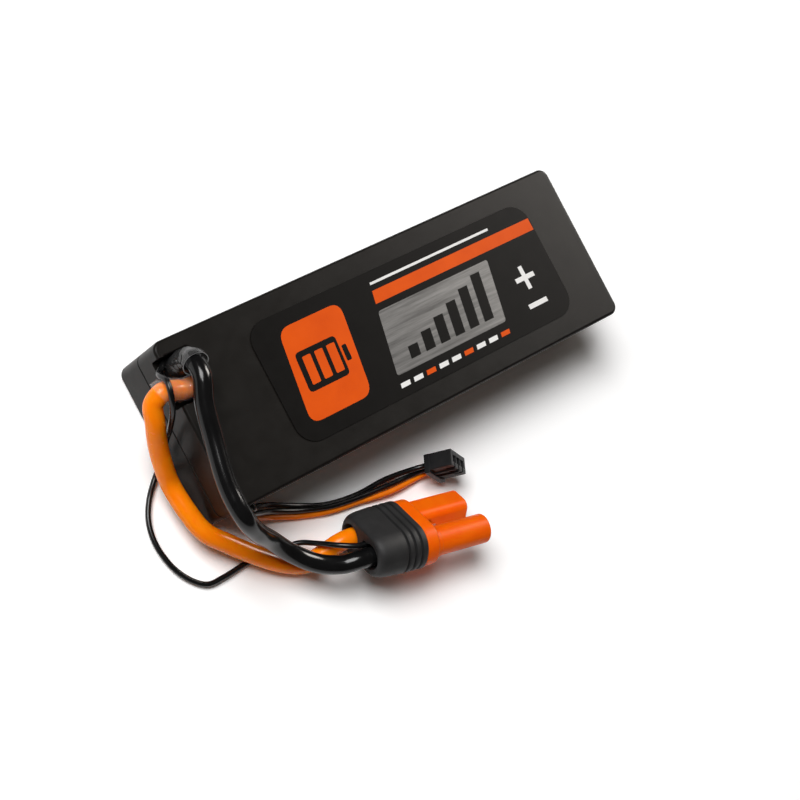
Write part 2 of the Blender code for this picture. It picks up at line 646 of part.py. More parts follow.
# Balance plug with slots for its contacts
plug_half = PLUG_LENGTH / 2
rim_x = -plug_half + 2 * PLUG_FLANGE
rim_z = PLUG_HEIGHT / 2 - PLUG_FLANGE
plug_outline = (
    (-plug_half, -PLUG_HEIGHT / 2),
    (plug_half, -PLUG_HEIGHT / 2),
    (plug_half, rim_z),
    (rim_x, rim_z),
    (rim_x, PLUG_HEIGHT / 2),
    (-plug_half, PLUG_HEIGHT / 2),
)
balance_plug = add_mesh(
    "balance_plug", profile_body(plug_outline, -PLUG_WIDTH / 2, PLUG_WIDTH / 2), plug_black, PLUG
)
plug_slot_z = -PLUG_FLANGE / 2
for index in (-1, 0, 1):
    middle = index * PLUG_PITCH
    half = PLUG_SLOT / 2 + GAP
    hole_low = (-2 * plug_half, middle - half, plug_slot_z - half)
    hole_high = (2 * plug_half, middle + half, plug_slot_z + half)
    cut(balance_plug, box_body(hole_low, hole_high), PLUG)
    key_low = (plug_half * 0.35, middle - 0.4 * MM, plug_slot_z)
    key_high = (2 * plug_half, middle + 0.4 * MM, PLUG_HEIGHT)
    cut(balance_plug, box_body(key_low, key_high), PLUG)
tidy(balance_plug)
plug_entry = -plug_half + 2.5 * MM
plug_contacts = (("negative_contact", 1), ("middle_contact", 0), ("positive_contact", -1))
for name, index in plug_contacts:
    middle = index * PLUG_PITCH
    half = PLUG_SLOT / 2
    low = (plug_entry + GAP, middle - half, plug_slot_z - half)
    high = (plug_half - 1.2 * MM, middle + half, plug_slot_z + half)
    contact = add_mesh(name, box_body(low, high), contact_tin, PLUG)
    hollow_low = (low[0] + 2 * MM, middle - half * 0.6, plug_slot_z - half * 0.6)
    hollow_high = (2 * plug_half, middle + half * 0.6, plug_slot_z + half * 0.6)
    cut(contact, box_body(hollow_low, hollow_high), PLUG)
    tidy(contact)

# Main leads
boot_half = BOOT_HOLE_SPACING / 2
negative_route = [
    Vector((BLACK_X, BLACK_Y, lead_stop + GAP)),
    Vector((BLACK_X, BLACK_Y, POCKET_FLOOR + 4.0 * MM)),
    Vector((BLACK_X, BLACK_Y, TOP - 2.0 * MM)),
    Vector((BLACK_X, BLACK_Y + 0.1 * MM, TOP + 1.4 * MM)),
    Vector((BLACK_X - 0.3 * MM, BLACK_Y - 1.3 * MM, TOP + 6.1 * MM)),
    Vector((BLACK_X - 1.2 * MM, BLACK_Y - 5.7 * MM, TOP + 8.4 * MM)),
    spot(ORANGE_Y, TOP, 2.2, -6.0, 7.2),
    spot(ORANGE_Y, TOP, 0.8, -13.9, 5.8),
    spot(SIDE, TOP, -1.6, 6.5, 5.0),
    spot(SIDE, TOP, -1.2, -1.5, 4.2),
    spot(SIDE, TOP, 2.6, -6.3, -1.5),
    spot(SIDE, REST, 9.0, -10.6, 13.2),
    spot(SIDE, REST, 14.9, -16.5, 8.9),
    spot(SIDE, REST, 20.5, -21.9, 8.2),
    spot(SIDE, REST, 26.1, -25.1, 9.4),
    boot_point(boot_back - 3.0 * MM, -boot_half),
    boot_point(boot_back + 4.0 * MM, -boot_half),
    boot_point(boot_front, -boot_half),
]
positive_route = [
    ORANGE_IN.copy(),
    ORANGE_IN.lerp(ORANGE_OUT, 0.35),
    ORANGE_IN.lerp(ORANGE_OUT, 0.7),
    ORANGE_OUT + Vector((0.2 * MM, 0.7 * MM, -0.2 * MM)),
    spot(ORANGE_Y, TOP, -3.6, 1.4, 1.0),
    spot(ORANGE_Y, TOP, -6.4, -0.2, -1.1),
    spot(ORANGE_Y, TOP, -7.0, -4.0, -3.4),
    spot(ORANGE_Y, TOP, -6.7, -8.6, -8.5),
    spot(ORANGE_Y, REST, -6.0, -13.4, 9.1),
    spot(SIDE, REST, -4.9, 14.1, 4.9),
    spot(SIDE, REST, -4.1, 5.9, 4.6),
    spot(SIDE, REST, -2.4, -0.8, 4.5),
    spot(SIDE, REST, 2.0, -6.0, 3.9),
    spot(SIDE, REST, 8.0, -12.0, 2.6),
    spot(SIDE, REST, 14.8, -17.6, 1.3),
    spot(SIDE, REST, 21.3, -20.7, 0.4),
    spot(SIDE, REST, 27.4, -20.4, 1.6),
    boot_point(boot_back - 2.5 * MM, boot_half, -0.8 * MM),
    boot_point(boot_back + 3.0 * MM, boot_half, -0.2 * MM),
    boot_point(boot_front, boot_half),
]
data_route = [
    Vector((DATA_X, DATA_Y, lead_stop + GAP)),
    Vector((DATA_X, DATA_Y, NOTCH_Z + 0.6 * MM)),
    Vector((DATA_X - 1.0 * MM, DATA_Y - 0.6 * MM, NOTCH_Z + 2.1 * MM)),
    spot(DATA_Y, TOP, -1.4, -2.2, -0.2),
    spot(DATA_Y, TOP, -2.9, -3.4, 2.7),
    spot(ORANGE_Y, TOP, -3.3, 2.9, 5.6),
    spot(ORANGE_Y, TOP, -4.0, -0.4, 5.6),
    spot(ORANGE_Y, TOP, -3.9, -4.0, 1.8),
    spot(ORANGE_Y, TOP, -2.9, -7.0, -6.4),
    spot(ORANGE_Y, WIRE_REST, -2.4, -9.6, 9.7),
    spot(ORANGE_Y, WIRE_REST, -2.2, -12.6, 3.55),
    spot(SIDE, WIRE_REST, -4.6, 17.9, 0.25),
    spot(SIDE, WIRE_REST, -9.4, 12.9, 0.05),
    spot(SIDE, WIRE_REST, -12.2, 7.9, 0.0),
    spot(SIDE, WIRE_REST, -13.2, 1.9, 0.0),
    spot(SIDE, WIRE_REST, -11.8, -5.5, 0.0),
    spot(SIDE, WIRE_REST, -8.6, -10.7, 0.0),
    spot(SIDE, WIRE_REST, -5.4, -13.1, 0.0),
    spot(SIDE, WIRE_REST, -0.8, -13.4, 0.0),
    spot(SIDE, WIRE_REST, 7.0, -13.1, 0.0),
    spot(SIDE, WIRE_REST, 16.0, -14.1, 0.0),
    spot(SIDE, WIRE_REST, 21.8, -14.9, 2.6),
    spot(SIDE, WIRE_REST, 24.9, -17.2, 5.9),
    spot(SIDE, WIRE_REST, 28.6, -20.6, 10.6),
    boot_point(boot_back - 1.6 * MM, data_hole_at[1], data_hole_at[2]),
    boot_point(boot_back + 2.0 * MM, data_hole_at[1], data_hole_at[2]),
    boot_point(boot_front, data_hole_at[1], data_hole_at[2]),
]
add_cord("negative_lead", negative_route, LEAD_DIAMETER, LEAD_STEP, silicone_black)
add_cord("positive_lead", positive_route, LEAD_DIAMETER, LEAD_STEP, silicone_orange)
add_cord("data_wire", data_route, WIRE_DIAMETER, 2.0 * WIRE_DIAMETER, silicone_black)

# Clear sleeves over the first stretch of each main lead
sleeves = (
    ("negative_sleeve", negative_route, 1, 5, SLEEVE_FLARE),
    ("positive_sleeve", positive_route, 1, 4, SLEEVE_FLARE),
)
for name, route, first, last, flare in sleeves:
    stretch = sweep_frames(even_points(smooth_route(route), LEAD_STEP))[first:last + 1]
    add_mesh(name, sleeve_body(stretch, SLEEVE_INNER, SLEEVE_OUTER, flare), sleeve_clear)

# Balance wires, out of the slot and along the floor to the plug
wire_step = WIRE_DIAMETER + 1.25 * GAP
# Middle wire's places in millimetres, then the angle round it at which each outer wire lies beside it
stations = (
    ((7.6, -2.0, 13.8), 125.0, 290.0),
    ((12.4, -2.9, 8.9), 185.0, 300.0),
    ((18.6, -4.2, 3.9), 190.0, 315.0),
    ((27.4, -7.6, 1.4), 215.0, 315.0),
    ((35.9, -10.4, 1.6), 240.0, 310.0),
    ((45.6, -12.0, 1.6), 240.0, 310.0),
    ((55.4, -13.0, 1.6), 180.0, 345.0),
)


def slot_point(index, out):
    # Place of a balance wire in the slot, that far out from the side
    return Vector((SLOT_X + index * wire_step, SIDE - out, SLOT_Z))


def plug_point(index, x):
    # Place of a balance wire on the plug's own axis
    return PLUG @ Vector((x, index * PLUG_PITCH, plug_slot_z))


def beside(before, after, angle):
    # Direction square to a run, turned about it from the level
    along_run = (after - before).normalized()
    level = along_run.cross(Vector((0.0, 0.0, 1.0))).normalized()
    turn = math.radians(angle)
    return level * math.cos(turn) + level.cross(along_run) * math.sin(turn)


balance = (
    ("balance_wire_negative", 1, silicone_black),
    ("balance_wire_middle", 0, silicone_black),
    ("balance_wire_positive", -1, silicone_orange),
)
plug_back = -plug_half - 2.0 * MM
middle_places = [spot(SIDE, WIRE_REST, *place) for place, first, second in stations]
middle_run = [slot_point(0, WIRE_RADIUS), *middle_places, plug_point(0, plug_back)]
for name, index, material in balance:
    route = [slot_point(index, GAP - CASE_WALL), slot_point(index, WIRE_RADIUS)]
    for number, (place, first, second) in enumerate(stations):
        point = middle_places[number].copy()
        if index:
            angle = first if index > 0 else second
            point += beside(middle_run[number], middle_run[number + 2], angle) * wire_step
        route.append(point)
    route += [plug_point(index, plug_back), plug_point(index, plug_entry)]
    add_cord(name, route, WIRE_DIAMETER, 2.0 * WIRE_DIAMETER, material)
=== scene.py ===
import json
import math
import bmesh
import bpy
from mathutils import Matrix, Vector

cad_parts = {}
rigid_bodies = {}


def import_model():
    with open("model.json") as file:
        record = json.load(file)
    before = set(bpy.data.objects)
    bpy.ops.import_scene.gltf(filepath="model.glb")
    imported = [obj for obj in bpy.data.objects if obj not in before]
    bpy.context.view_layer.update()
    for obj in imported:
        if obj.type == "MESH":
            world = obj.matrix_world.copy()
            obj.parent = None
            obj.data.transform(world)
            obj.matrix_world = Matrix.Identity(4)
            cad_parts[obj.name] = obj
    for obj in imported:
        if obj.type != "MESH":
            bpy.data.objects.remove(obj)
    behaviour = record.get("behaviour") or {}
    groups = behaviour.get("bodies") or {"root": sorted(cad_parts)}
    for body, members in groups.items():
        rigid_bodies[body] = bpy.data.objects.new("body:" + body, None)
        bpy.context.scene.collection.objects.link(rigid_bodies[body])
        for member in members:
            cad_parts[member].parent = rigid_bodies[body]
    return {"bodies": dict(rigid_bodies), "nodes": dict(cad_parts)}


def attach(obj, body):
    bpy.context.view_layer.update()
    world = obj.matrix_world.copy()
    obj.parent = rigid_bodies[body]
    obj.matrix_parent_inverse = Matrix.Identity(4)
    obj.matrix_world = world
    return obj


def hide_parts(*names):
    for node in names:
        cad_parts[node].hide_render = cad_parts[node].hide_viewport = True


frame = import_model()
nodes = frame["nodes"]
packBody = list(frame["bodies"])[0]
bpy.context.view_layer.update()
mm = 0.001
tiny = 1e-6  # metres, keeps rounded corners and chamfers from closing up
print("frame loaded,", len(nodes), "solids")


def lengths(**sizes):  # named sizes, given in millimetres
    return {name: size * mm for name, size in sizes.items()}


# shapes that several pieces share

sharpAt = dict(plain=34, fine=30, ribs=38, tube=50)  # degrees at which an edge stays sharp
flatWeight = 80  # above 50, large faces count more in the shading
merging = dict(points=2e-6, slivers=1e-7)


def roundedOutline(halfX, halfY, radius, steps):
    radius = max(min(radius, halfX - tiny, halfY - tiny), 10 * tiny)
    points = []
    for signX, signY, start in ((1, 1, 0), (-1, 1, 90), (-1, -1, 180), (1, -1, 270)):
        for step in range(steps + 1):
            angle = math.radians(start + 90 * step / steps)
            points.append((signX * (halfX - radius) + radius * math.cos(angle),
                           signY * (halfY - radius) + radius * math.sin(angle)))
    return points


def ringAlongX(x, radius, sides=48):
    angles = [math.tau * s / sides for s in range(sides)]
    return [(x, radius * math.cos(a), radius * math.sin(a)) for a in angles]


def loft(rings):  # closed body through rings of equal length
    bm = bmesh.new()
    rows = [[bm.verts.new(p) for p in ring] for ring in rings]
    count = len(rows[0])
    for lower, upper in zip(rows, rows[1:]):
        for i in range(count):
            j = (i + 1) % count
            bm.faces.new((lower[i], lower[j], upper[j], upper[i]))
    bm.faces.new(list(reversed(rows[0])))
    bm.faces.new(rows[-1])
    return bm


def edgeLevels(edge, steps):  # rise and inset of a rounded edge, from the side to the flat
    if edge <= 0:
        return [(0.0, 0.0)]
    turns = [math.radians(90 * step / steps) for step in range(steps + 1)]
    return [(edge * (1 - math.sin(a)), edge * (1 - math.cos(a))) for a in turns]


def roundedBody(size, centre, corner, lowEdge=0.0, highEdge=0.0, cornerSteps=10, edgeSteps=6):
    low = centre[2] - size[2] / 2
    high = centre[2] + size[2] / 2
    levels = [(low + rise, inset) for rise, inset in reversed(edgeLevels(lowEdge, edgeSteps))]
    levels += [(high - rise, inset) for rise, inset in edgeLevels(highEdge, edgeSteps)]
    rings = []
    for height, inset in levels:
        ring = roundedOutline(size[0] / 2 - inset, size[1] / 2 - inset, corner - inset, cornerSteps)
        rings.append([(centre[0] + x, centre[1] + y, height) for x, y in ring])
    return loft(rings)


def boxBody(low, high):
    bm = bmesh.new()
    bmesh.ops.create_cube(bm, size=1.0)
    middle = [(a + b) / 2 for a, b in zip(low, high)]
    scale = [b - a for a, b in zip(low, high)]
    bm.transform(Matrix.Translation(middle) @ Matrix.Diagonal((*scale, 1.0)))
    return bm


def roundBar(radius, low, high, sides=48, chamfer=0.0):  # along X
    start = max(chamfer, tiny)
    face = radius - chamfer
    places = ((low, face), (low + start, radius), (high - start, radius), (high, face))
    return loft([ringAlongX(x, r, sides) for x, r in places])


def softEdges(bm, width):  # rounds the sharp edges of a simple body
    limit = math.radians(sharpAt["fine"])
    sharp = [e for e in bm.edges if len(e.link_faces) == 2 and e.calc_face_angle(0) > limit]
    bmesh.ops.bevel(bm, geom=sharp, offset=width, segments=2, profile=0.6, affect="EDGES",
                    clamp_overlap=True)
    return bm


def smoothPiece(piece, angle, weighted=True):
    piece.data.shade_smooth()
    piece.data.set_sharp_from_angle(angle=math.radians(angle))
    if weighted:
        evenLight = piece.modifiers.new("even light", "WEIGHTED_NORMAL")
        evenLight.keep_sharp = True
        evenLight.weight = flatWeight


def addPiece(name, bm, material, matrix=None, angle=sharpAt["plain"], weighted=True):
    if matrix is not None:
        bm.transform(matrix)
    bmesh.ops.recalc_face_normals(bm, faces=bm.faces[:])
    mesh = bpy.data.meshes.new(name)
    bm.to_mesh(mesh)
    bm.free()
    if material is not None:
        mesh.materials.append(material)
    piece = bpy.data.objects.new(name, mesh)
    bpy.context.scene.collection.objects.link(piece)
    smoothPiece(piece, angle, weighted)
    return piece


def carve(target, bm, matrix=None, operation="DIFFERENCE"):
    tool = addPiece("carver", bm, None, matrix, weighted=False)
    target.modifiers.clear()
    cutter = target.modifiers.new("carve", "BOOLEAN")
    cutter.operation = operation
    cutter.solver = "EXACT"
    cutter.object = tool
    bpy.context.view_layer.update()
    graph = bpy.context.evaluated_depsgraph_get()
    mesh = bpy.data.meshes.new_from_object(target.evaluated_get(graph))
    target.modifiers.clear()
    target.data = mesh
    bpy.data.objects.remove(tool, do_unlink=True)


def cleanUp(piece, angle=sharpAt["plain"]):  # merges what the cuts leave and smooths again
    bm = bmesh.new()
    bm.from_mesh(piece.data)
    bmesh.ops.remove_doubles(bm, verts=bm.verts[:], dist=merging["points"])
    bmesh.ops.dissolve_degenerate(bm, edges=bm.edges[:], dist=merging["slivers"])
    bm.to_mesh(piece.data)
    bm.free()
    smoothPiece(piece, angle)


def keep(piece, slotName, *replaced):  # files a piece with the pack's body and hides the solids it replaces
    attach(piece, packBody)
    if replaced:
        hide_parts(*replaced)
    return piece


# finishes: colours are linear, scales are waves per metre

mottle = dict(reach=(0.3, 0.7), colourDetail=4.0, grainFade=0.6, wornFiner=2.5)  # how the noise is used


def newFinish(name):
    material = bpy.data.materials.new(name)
    material.use_nodes = True
    return material, material.node_tree, material.node_tree.nodes["Principled BSDF"]


def noiseOf(tree, scale, detail=3.0, rough=0.55, stretch=(1, 1, 1)):
    coords = tree.nodes.new("ShaderNodeTexCoord")
    mapping = tree.nodes.new("ShaderNodeMapping")
    mapping.inputs["Scale"].default_value = stretch
    noise = tree.nodes.new("ShaderNodeTexNoise")
    noise.inputs["Scale"].default_value = scale
    noise.inputs["Detail"].default_value = detail
    noise.inputs["Roughness"].default_value = rough
    tree.links.new(coords.outputs["Object"], mapping.inputs["Vector"])
    tree.links.new(mapping.outputs["Vector"], noise.inputs["Vector"])
    return noise.outputs["Fac"]


def spread(tree, value, low, high):  # noise to a range of numbers
    ranged = tree.nodes.new("ShaderNodeMapRange")
    ranged.inputs["From Min"].default_value = mottle["reach"][0]
    ranged.inputs["From Max"].default_value = mottle["reach"][1]
    ranged.inputs["To Min"].default_value = low
    ranged.inputs["To Max"].default_value = high
    tree.links.new(value, ranged.inputs["Value"])
    return ranged.outputs["Result"]


def tones(tree, value, dark, light):  # noise to a range of colours
    ramp = tree.nodes.new("ShaderNodeValToRGB")
    for element, position, colour in zip(ramp.color_ramp.elements, mottle["reach"], (dark, light)):
        element.position = position
        element.color = (*colour, 1.0)
    tree.links.new(value, ramp.inputs["Fac"])
    return ramp.outputs["Color"]


def relief(tree, shader, height, strength, depth):
    bump = tree.nodes.new("ShaderNodeBump")
    bump.inputs["Strength"].default_value = strength
    bump.inputs["Distance"].default_value = depth
    tree.links.new(height, bump.inputs["Height"])
    tree.links.new(bump.outputs["Normal"], shader.inputs["Normal"])


def surface(name, dark, light, patch, rough, grain, gloss=0.5, stretch=(1, 1, 1), **inputs):
    material, tree, shader = newFinish(name)
    colour = noiseOf(tree, patch, mottle["colourDetail"])
    tree.links.new(tones(tree, colour, dark, light), shader.inputs["Base Color"])
    scale, strength, depth = grain
    fine = noiseOf(tree, scale, rough=mottle["grainFade"], stretch=stretch)
    worn = noiseOf(tree, patch * mottle["wornFiner"])
    tree.links.new(spread(tree, worn, *rough), shader.inputs["Roughness"])
    relief(tree, shader, fine, strength, depth)
    shader.inputs["Specular IOR Level"].default_value = gloss
    for inputName, value in inputs.items():
        shader.inputs[inputName.replace("_", " ")].default_value = value
    return material


printed = dict(grain=(2600, 0.05, 0.00003), gloss=0.06)  # grain is scale, strength and depth
blackSilicone = dict(dark=(0.0032, 0.0033, 0.0036), light=(0.0052, 0.0053, 0.0056))
finishes = {
    "caseBlack": dict(dark=(0.0052, 0.0044, 0.0037), light=(0.0074, 0.0064, 0.0055), patch=90,
                      rough=(0.33, 0.4), grain=(7000, 0.2, 0.00005), gloss=0.11),
    "filmBlack": dict(dark=(0.0026, 0.0022, 0.0019), light=(0.0038, 0.0033, 0.0029), patch=120,
                      rough=(0.4, 0.46), **printed),
    "inkOrange": dict(dark=(0.7, 0.078, 0.0008), light=(0.77, 0.092, 0.0012), patch=150,
                      rough=(0.4, 0.48), **printed),
    "inkWhite": dict(dark=(0.78, 0.77, 0.75), light=(0.87, 0.86, 0.84), patch=150,
                     rough=(0.32, 0.4), **printed),
    "inkBlack": dict(dark=(0.0025, 0.0022, 0.002), light=(0.004, 0.0035, 0.003), patch=150,
                     rough=(0.4, 0.46), **printed),
    "leadBlack": dict(patch=260, rough=(0.15, 0.21), grain=(1400, 0.04, 0.00003), gloss=0.3,
                      **blackSilicone),
    "leadOrange": dict(dark=(0.93, 0.205, 0.001), light=(0.98, 0.25, 0.002), patch=200,
                       rough=(0.2, 0.28), grain=(1400, 0.05, 0.00004),
                       Subsurface_Weight=0.55, Subsurface_Scale=0.0022, gloss=0.22),
    "wireBlack": dict(patch=400, rough=(0.2, 0.28), grain=(4000, 0.05, 0.00003), gloss=0.36,
                      **blackSilicone),
    "wireOrange": dict(dark=(0.88, 0.18, 0.002), light=(0.96, 0.23, 0.004), patch=400,
                       rough=(0.3, 0.4), grain=(8000, 0.1, 0.00003), gloss=0.2),
    "bootGrey": dict(dark=(0.0155, 0.0152, 0.0155), light=(0.0215, 0.021, 0.0215), patch=220,
                     rough=(0.5, 0.6), grain=(9000, 0.25, 0.00005), gloss=0.26),
    "housingOrange": dict(dark=(0.92, 0.115, 0.001), light=(0.98, 0.142, 0.0015), patch=180,
                          rough=(0.3, 0.4), grain=(8000, 0.12, 0.00004),
                          Subsurface_Weight=0.35, Subsurface_Scale=0.0018, gloss=0.1),
    "plugBlack": dict(dark=(0.0095, 0.0095, 0.01), light=(0.014, 0.014, 0.0145), patch=400,
                      rough=(0.36, 0.46), grain=(9000, 0.2, 0.00004), gloss=0.22),
    "socketGold": dict(dark=(0.72, 0.48, 0.16), light=(0.86, 0.62, 0.25), patch=500,
                       rough=(0.18, 0.3), grain=(6000, 0.08, 0.00002), Metallic=1.0),
    "contactTin": dict(dark=(0.58, 0.58, 0.57), light=(0.72, 0.72, 0.71), patch=500,
                       rough=(0.25, 0.38), grain=(6000, 0.1, 0.00002), Metallic=1.0),
    "pouchFoil": dict(dark=(0.52, 0.52, 0.53), light=(0.66, 0.66, 0.67), patch=60,
                      rough=(0.28, 0.4), grain=(500, 0.2, 0.0002), Metallic=0.8),
    "foamGrey": dict(dark=(0.06, 0.06, 0.06), light=(0.13, 0.13, 0.13), patch=900,
                     rough=(0.85, 0.95), grain=(2600, 0.5, 0.0002)),
    "tabNickel": dict(dark=(0.52, 0.49, 0.44), light=(0.66, 0.63, 0.57), patch=300, rough=(0.25, 0.38),
                      grain=(3000, 0.15, 0.00003), stretch=(1, 0.1, 1), Metallic=1.0),
    "boardGreen": dict(dark=(0.012, 0.08, 0.03), light=(0.02, 0.12, 0.05), patch=600,
                       rough=(0.35, 0.5), grain=(3000, 0.15, 0.00003)),
    "chipBlack": dict(dark=(0.008, 0.008, 0.009), light=(0.014, 0.014, 0.015), patch=700,
                      rough=(0.5, 0.6), grain=(9000, 0.25, 0.00003)),
    "filmAmber": dict(dark=(0.42, 0.19, 0.03), light=(0.55, 0.27, 0.05), patch=200,
                      rough=(0.25, 0.4), grain=(1500, 0.1, 0.00003)),
}
# noise such as lines and streaks is given as scale, detail, fade and stretch
foil = dict(dark=(0.055, 0.054, 0.053), light=(0.16, 0.158, 0.156), rough=(0.3, 0.44), strength=0.15,
            depth=0.00003, metallic=0.3, lines=(900, 5.0, 0.7, (0.045, 1, 1)))
tube = dict(tint=(0.9, 0.92, 0.94), patch=500, roughPatch=900, rough=(0.05, 0.1), dents=(260, 1.0),
            strength=0.16, depth=0.0002, streaks=(420, 2.0, 0.5, (1, 1, 0.25)), facing=0.25, gloss=0.9)
tubeKinds = {  # cover at its clearest and in its streaks, what is added edge on, and how pale it is
    # the tube over the black lead is the same clear tube darkened: painted shade that dims the lead's
    # reflection beneath it
    "tubeClearShaded": (0.3, 0.42, 0.4, 0.05),
    "tubePale": (0.0, 0.04, 0.13, 0.96),
    "tubeRim": (0.3, 0.5, 0.2, 0.8),
}


def foilSilver():  # brushed print on the label
    material, tree, shader = newFinish("foilSilver")
    lines = noiseOf(tree, *foil["lines"])
    tree.links.new(tones(tree, lines, foil["dark"], foil["light"]), shader.inputs["Base Color"])
    tree.links.new(spread(tree, lines, *foil["rough"]), shader.inputs["Roughness"])
    relief(tree, shader, lines, foil["strength"], foil["depth"])
    shader.inputs["Metallic"].default_value = foil["metallic"]
    return material


def clearTube(name, clear, streaked, edge, shade):  # shrunk tube, denser where it is seen edge on
    material, tree, shader = newFinish(name)
    dark = [part * shade for part in tube["tint"]]
    tree.links.new(tones(tree, noiseOf(tree, tube["patch"]), dark, [shade] * 3), shader.inputs["Base Color"])
    worn = noiseOf(tree, tube["roughPatch"])
    tree.links.new(spread(tree, worn, *tube["rough"]), shader.inputs["Roughness"])
    relief(tree, shader, noiseOf(tree, *tube["dents"]), tube["strength"], tube["depth"])
    facing = tree.nodes.new("ShaderNodeLayerWeight")
    facing.inputs["Blend"].default_value = tube["facing"]
    cover = tree.nodes.new("ShaderNodeMath")
    cover.operation = "MULTIPLY_ADD"
    cover.inputs[1].default_value = edge
    streaks = noiseOf(tree, *tube["streaks"])
    tree.links.new(facing.outputs["Facing"], cover.inputs[0])
    tree.links.new(spread(tree, streaks, clear, streaked), cover.inputs[2])
    tree.links.new(cover.outputs["Value"], shader.inputs["Alpha"])
    shader.inputs["Specular IOR Level"].default_value = tube["gloss"]
    return material


made = {name: surface(name, **values) for name, values in finishes.items()}
made["foilSilver"] = foilSilver()
made.update({name: clearTube(name, *values) for name, values in tubeKinds.items()})
print("finishes made,", len(made))


# case in two halves, with the lead pocket at one corner

case = lengths(length=138, width=47, height=25, wall=1.5, edge=0.9, corner=2.8, seam=13.2, groove=0.3,
               seamRound=0.25, lipHeight=1.2, lipWall=0.7, lipRoot=0.2, hollowCorner=1.3, hollowEdge=0.5,
               gap=0.3)
pocket = dict(rimSteps=6, floorRound=((0.0, -0.6), (0.2, -0.2), (0.6, 0.0)),
              **lengths(depth=9.0, width=13.4, side=4.1, drop=9.5, rim=0.5, corner=0.7, above=3,
                        notchDrop=4.3, notchReach=0.4, notchCorner=0.05, notchEdge=0.5))
slot = dict(roundShare=0.49, **lengths(inset=6.0, drop=7.4, length=7.2, height=3.4))
lead = dict(wireRoom=0.7, wireSpread=1.25,
            **lengths(diameter=5.2, wire=1.5, sleeveGap=0.2, sleeveWall=0.2, floor=0.3, entryReach=0.2,
                      entryRise=2.8, exitRise=1.6))

end = -case["length"] / 2
side = -case["width"] / 2
top = case["height"]
gap = case["gap"]
innerEnd = end + case["wall"]
leadRadius = lead["diameter"] / 2
wireRadius = lead["wire"] / 2
sleeveInner = leadRadius + lead["sleeveGap"]
sleeveOuter = sleeveInner + lead["sleeveWall"]
pocketY1 = case["width"] / 2 - pocket["side"]
pocketY0 = pocketY1 - pocket["width"]
pocketX1 = end + pocket["depth"]
pocketFloor = top - pocket["drop"]
notchZ = top - pocket["notchDrop"]
blackX = pocketX1 - sleeveOuter - gap
blackY = pocketY1 - sleeveOuter - gap
orangeY = blackY - 2 * sleeveOuter - gap
orangeIn = Vector((pocketX1 + lead["entryReach"], orangeY, pocketFloor + leadRadius + lead["entryRise"]))
orangeOut = Vector((end, orangeY, notchZ + sleeveOuter + lead["exitRise"]))
dataX = innerEnd + wireRadius + gap
dataY = pocketY1 - wireRadius - gap
slotX = end + slot["inset"]
slotZ = top - slot["drop"]
seamLow = case["seam"] - case["groove"] / 2
seamHigh = case["seam"] + case["groove"] / 2
lipInset = case["wall"] + gap / 2 - case["lipWall"]
far = case["length"]  # further than any cut has to reach


def hollowBody():  # room inside the two halves
    size = [case[name] - 2 * case["wall"] for name in ("length", "width", "height")]
    edge = case["hollowEdge"]
    return roundedBody(size, (0, 0, top / 2), case["hollowCorner"], edge, edge, cornerSteps=6, edgeSteps=3)


def slab(inset, height, middle):  # flat block of the case's outline, drawn in all round
    size = (case["length"] - 2 * inset, case["width"] - 2 * inset, height)
    return roundedBody(size, (0, 0, middle), case["corner"] - inset, cornerSteps=8)


def halfCase(name, low, high, lowEdge, highEdge):
    size = (case["length"], case["width"], high - low)
    body = roundedBody(size, (0, 0, (low + high) / 2), case["corner"], lowEdge, highEdge,
                       cornerSteps=14, edgeSteps=8)
    return addPiece(name, body, made["caseBlack"])


def buildTray():
    tray = halfCase("caseTray", 0.0, seamLow, case["edge"], case["seamRound"])
    lipHeight = case["lipHeight"] + case["groove"]
    carve(tray, slab(lipInset, lipHeight, seamLow + lipHeight / 2 - case["lipRoot"]), None, "UNION")
    carve(tray, hollowBody())
    cleanUp(tray)
    keep(tray, "shell_black", "lower_tray")


def pocketBody():  # cutter with a rounded floor and a rounded lip at the top face
    corner, rim = pocket["corner"], pocket["rim"]
    middle = ((innerEnd + pocketX1) / 2, (pocketY0 + pocketY1) / 2)
    half = ((pocketX1 - innerEnd) / 2, (pocketY1 - pocketY0) / 2)
    levels = [(pocketFloor + corner * rise, corner * grow) for rise, grow in pocket["floorRound"]]
    for step in range(pocket["rimSteps"] + 1):
        a = math.radians(90 * step / pocket["rimSteps"])
        levels.append((top - rim + rim * math.sin(a), rim * (1 - math.cos(a))))
    levels.append((top + pocket["above"], rim))
    rings = []
    for height, grow in levels:
        ring = roundedOutline(half[0] + grow, half[1] + grow, corner + max(grow, 0.0), steps=6)
        rings.append([(middle[0] + x, middle[1] + y, height) for x, y in ring])
    return loft(rings)


def hollowRoundPocket():  # the hollow leaves walls and a floor round the pocket
    hollow = addPiece("hollow", hollowBody(), None)
    low = (-far, pocketY0 - case["wall"], pocketFloor - case["wall"])
    high = (pocketX1 + case["wall"], pocketY1 + case["wall"], far)
    carve(hollow, boxBody(low, high))
    bm = bmesh.new()
    bm.from_mesh(hollow.data)
    bpy.data.objects.remove(hollow, do_unlink=True)
    return bm


def notchBody():  # opens the pocket to the end face
    middle = (innerEnd + pocket["notchReach"] - far / 2, (pocketY0 + pocketY1) / 2, notchZ + far / 2)
    size = (far, pocket["width"], far)
    return roundedBody(size, middle, pocket["notchCorner"], pocket["notchEdge"], cornerSteps=4, edgeSteps=5)


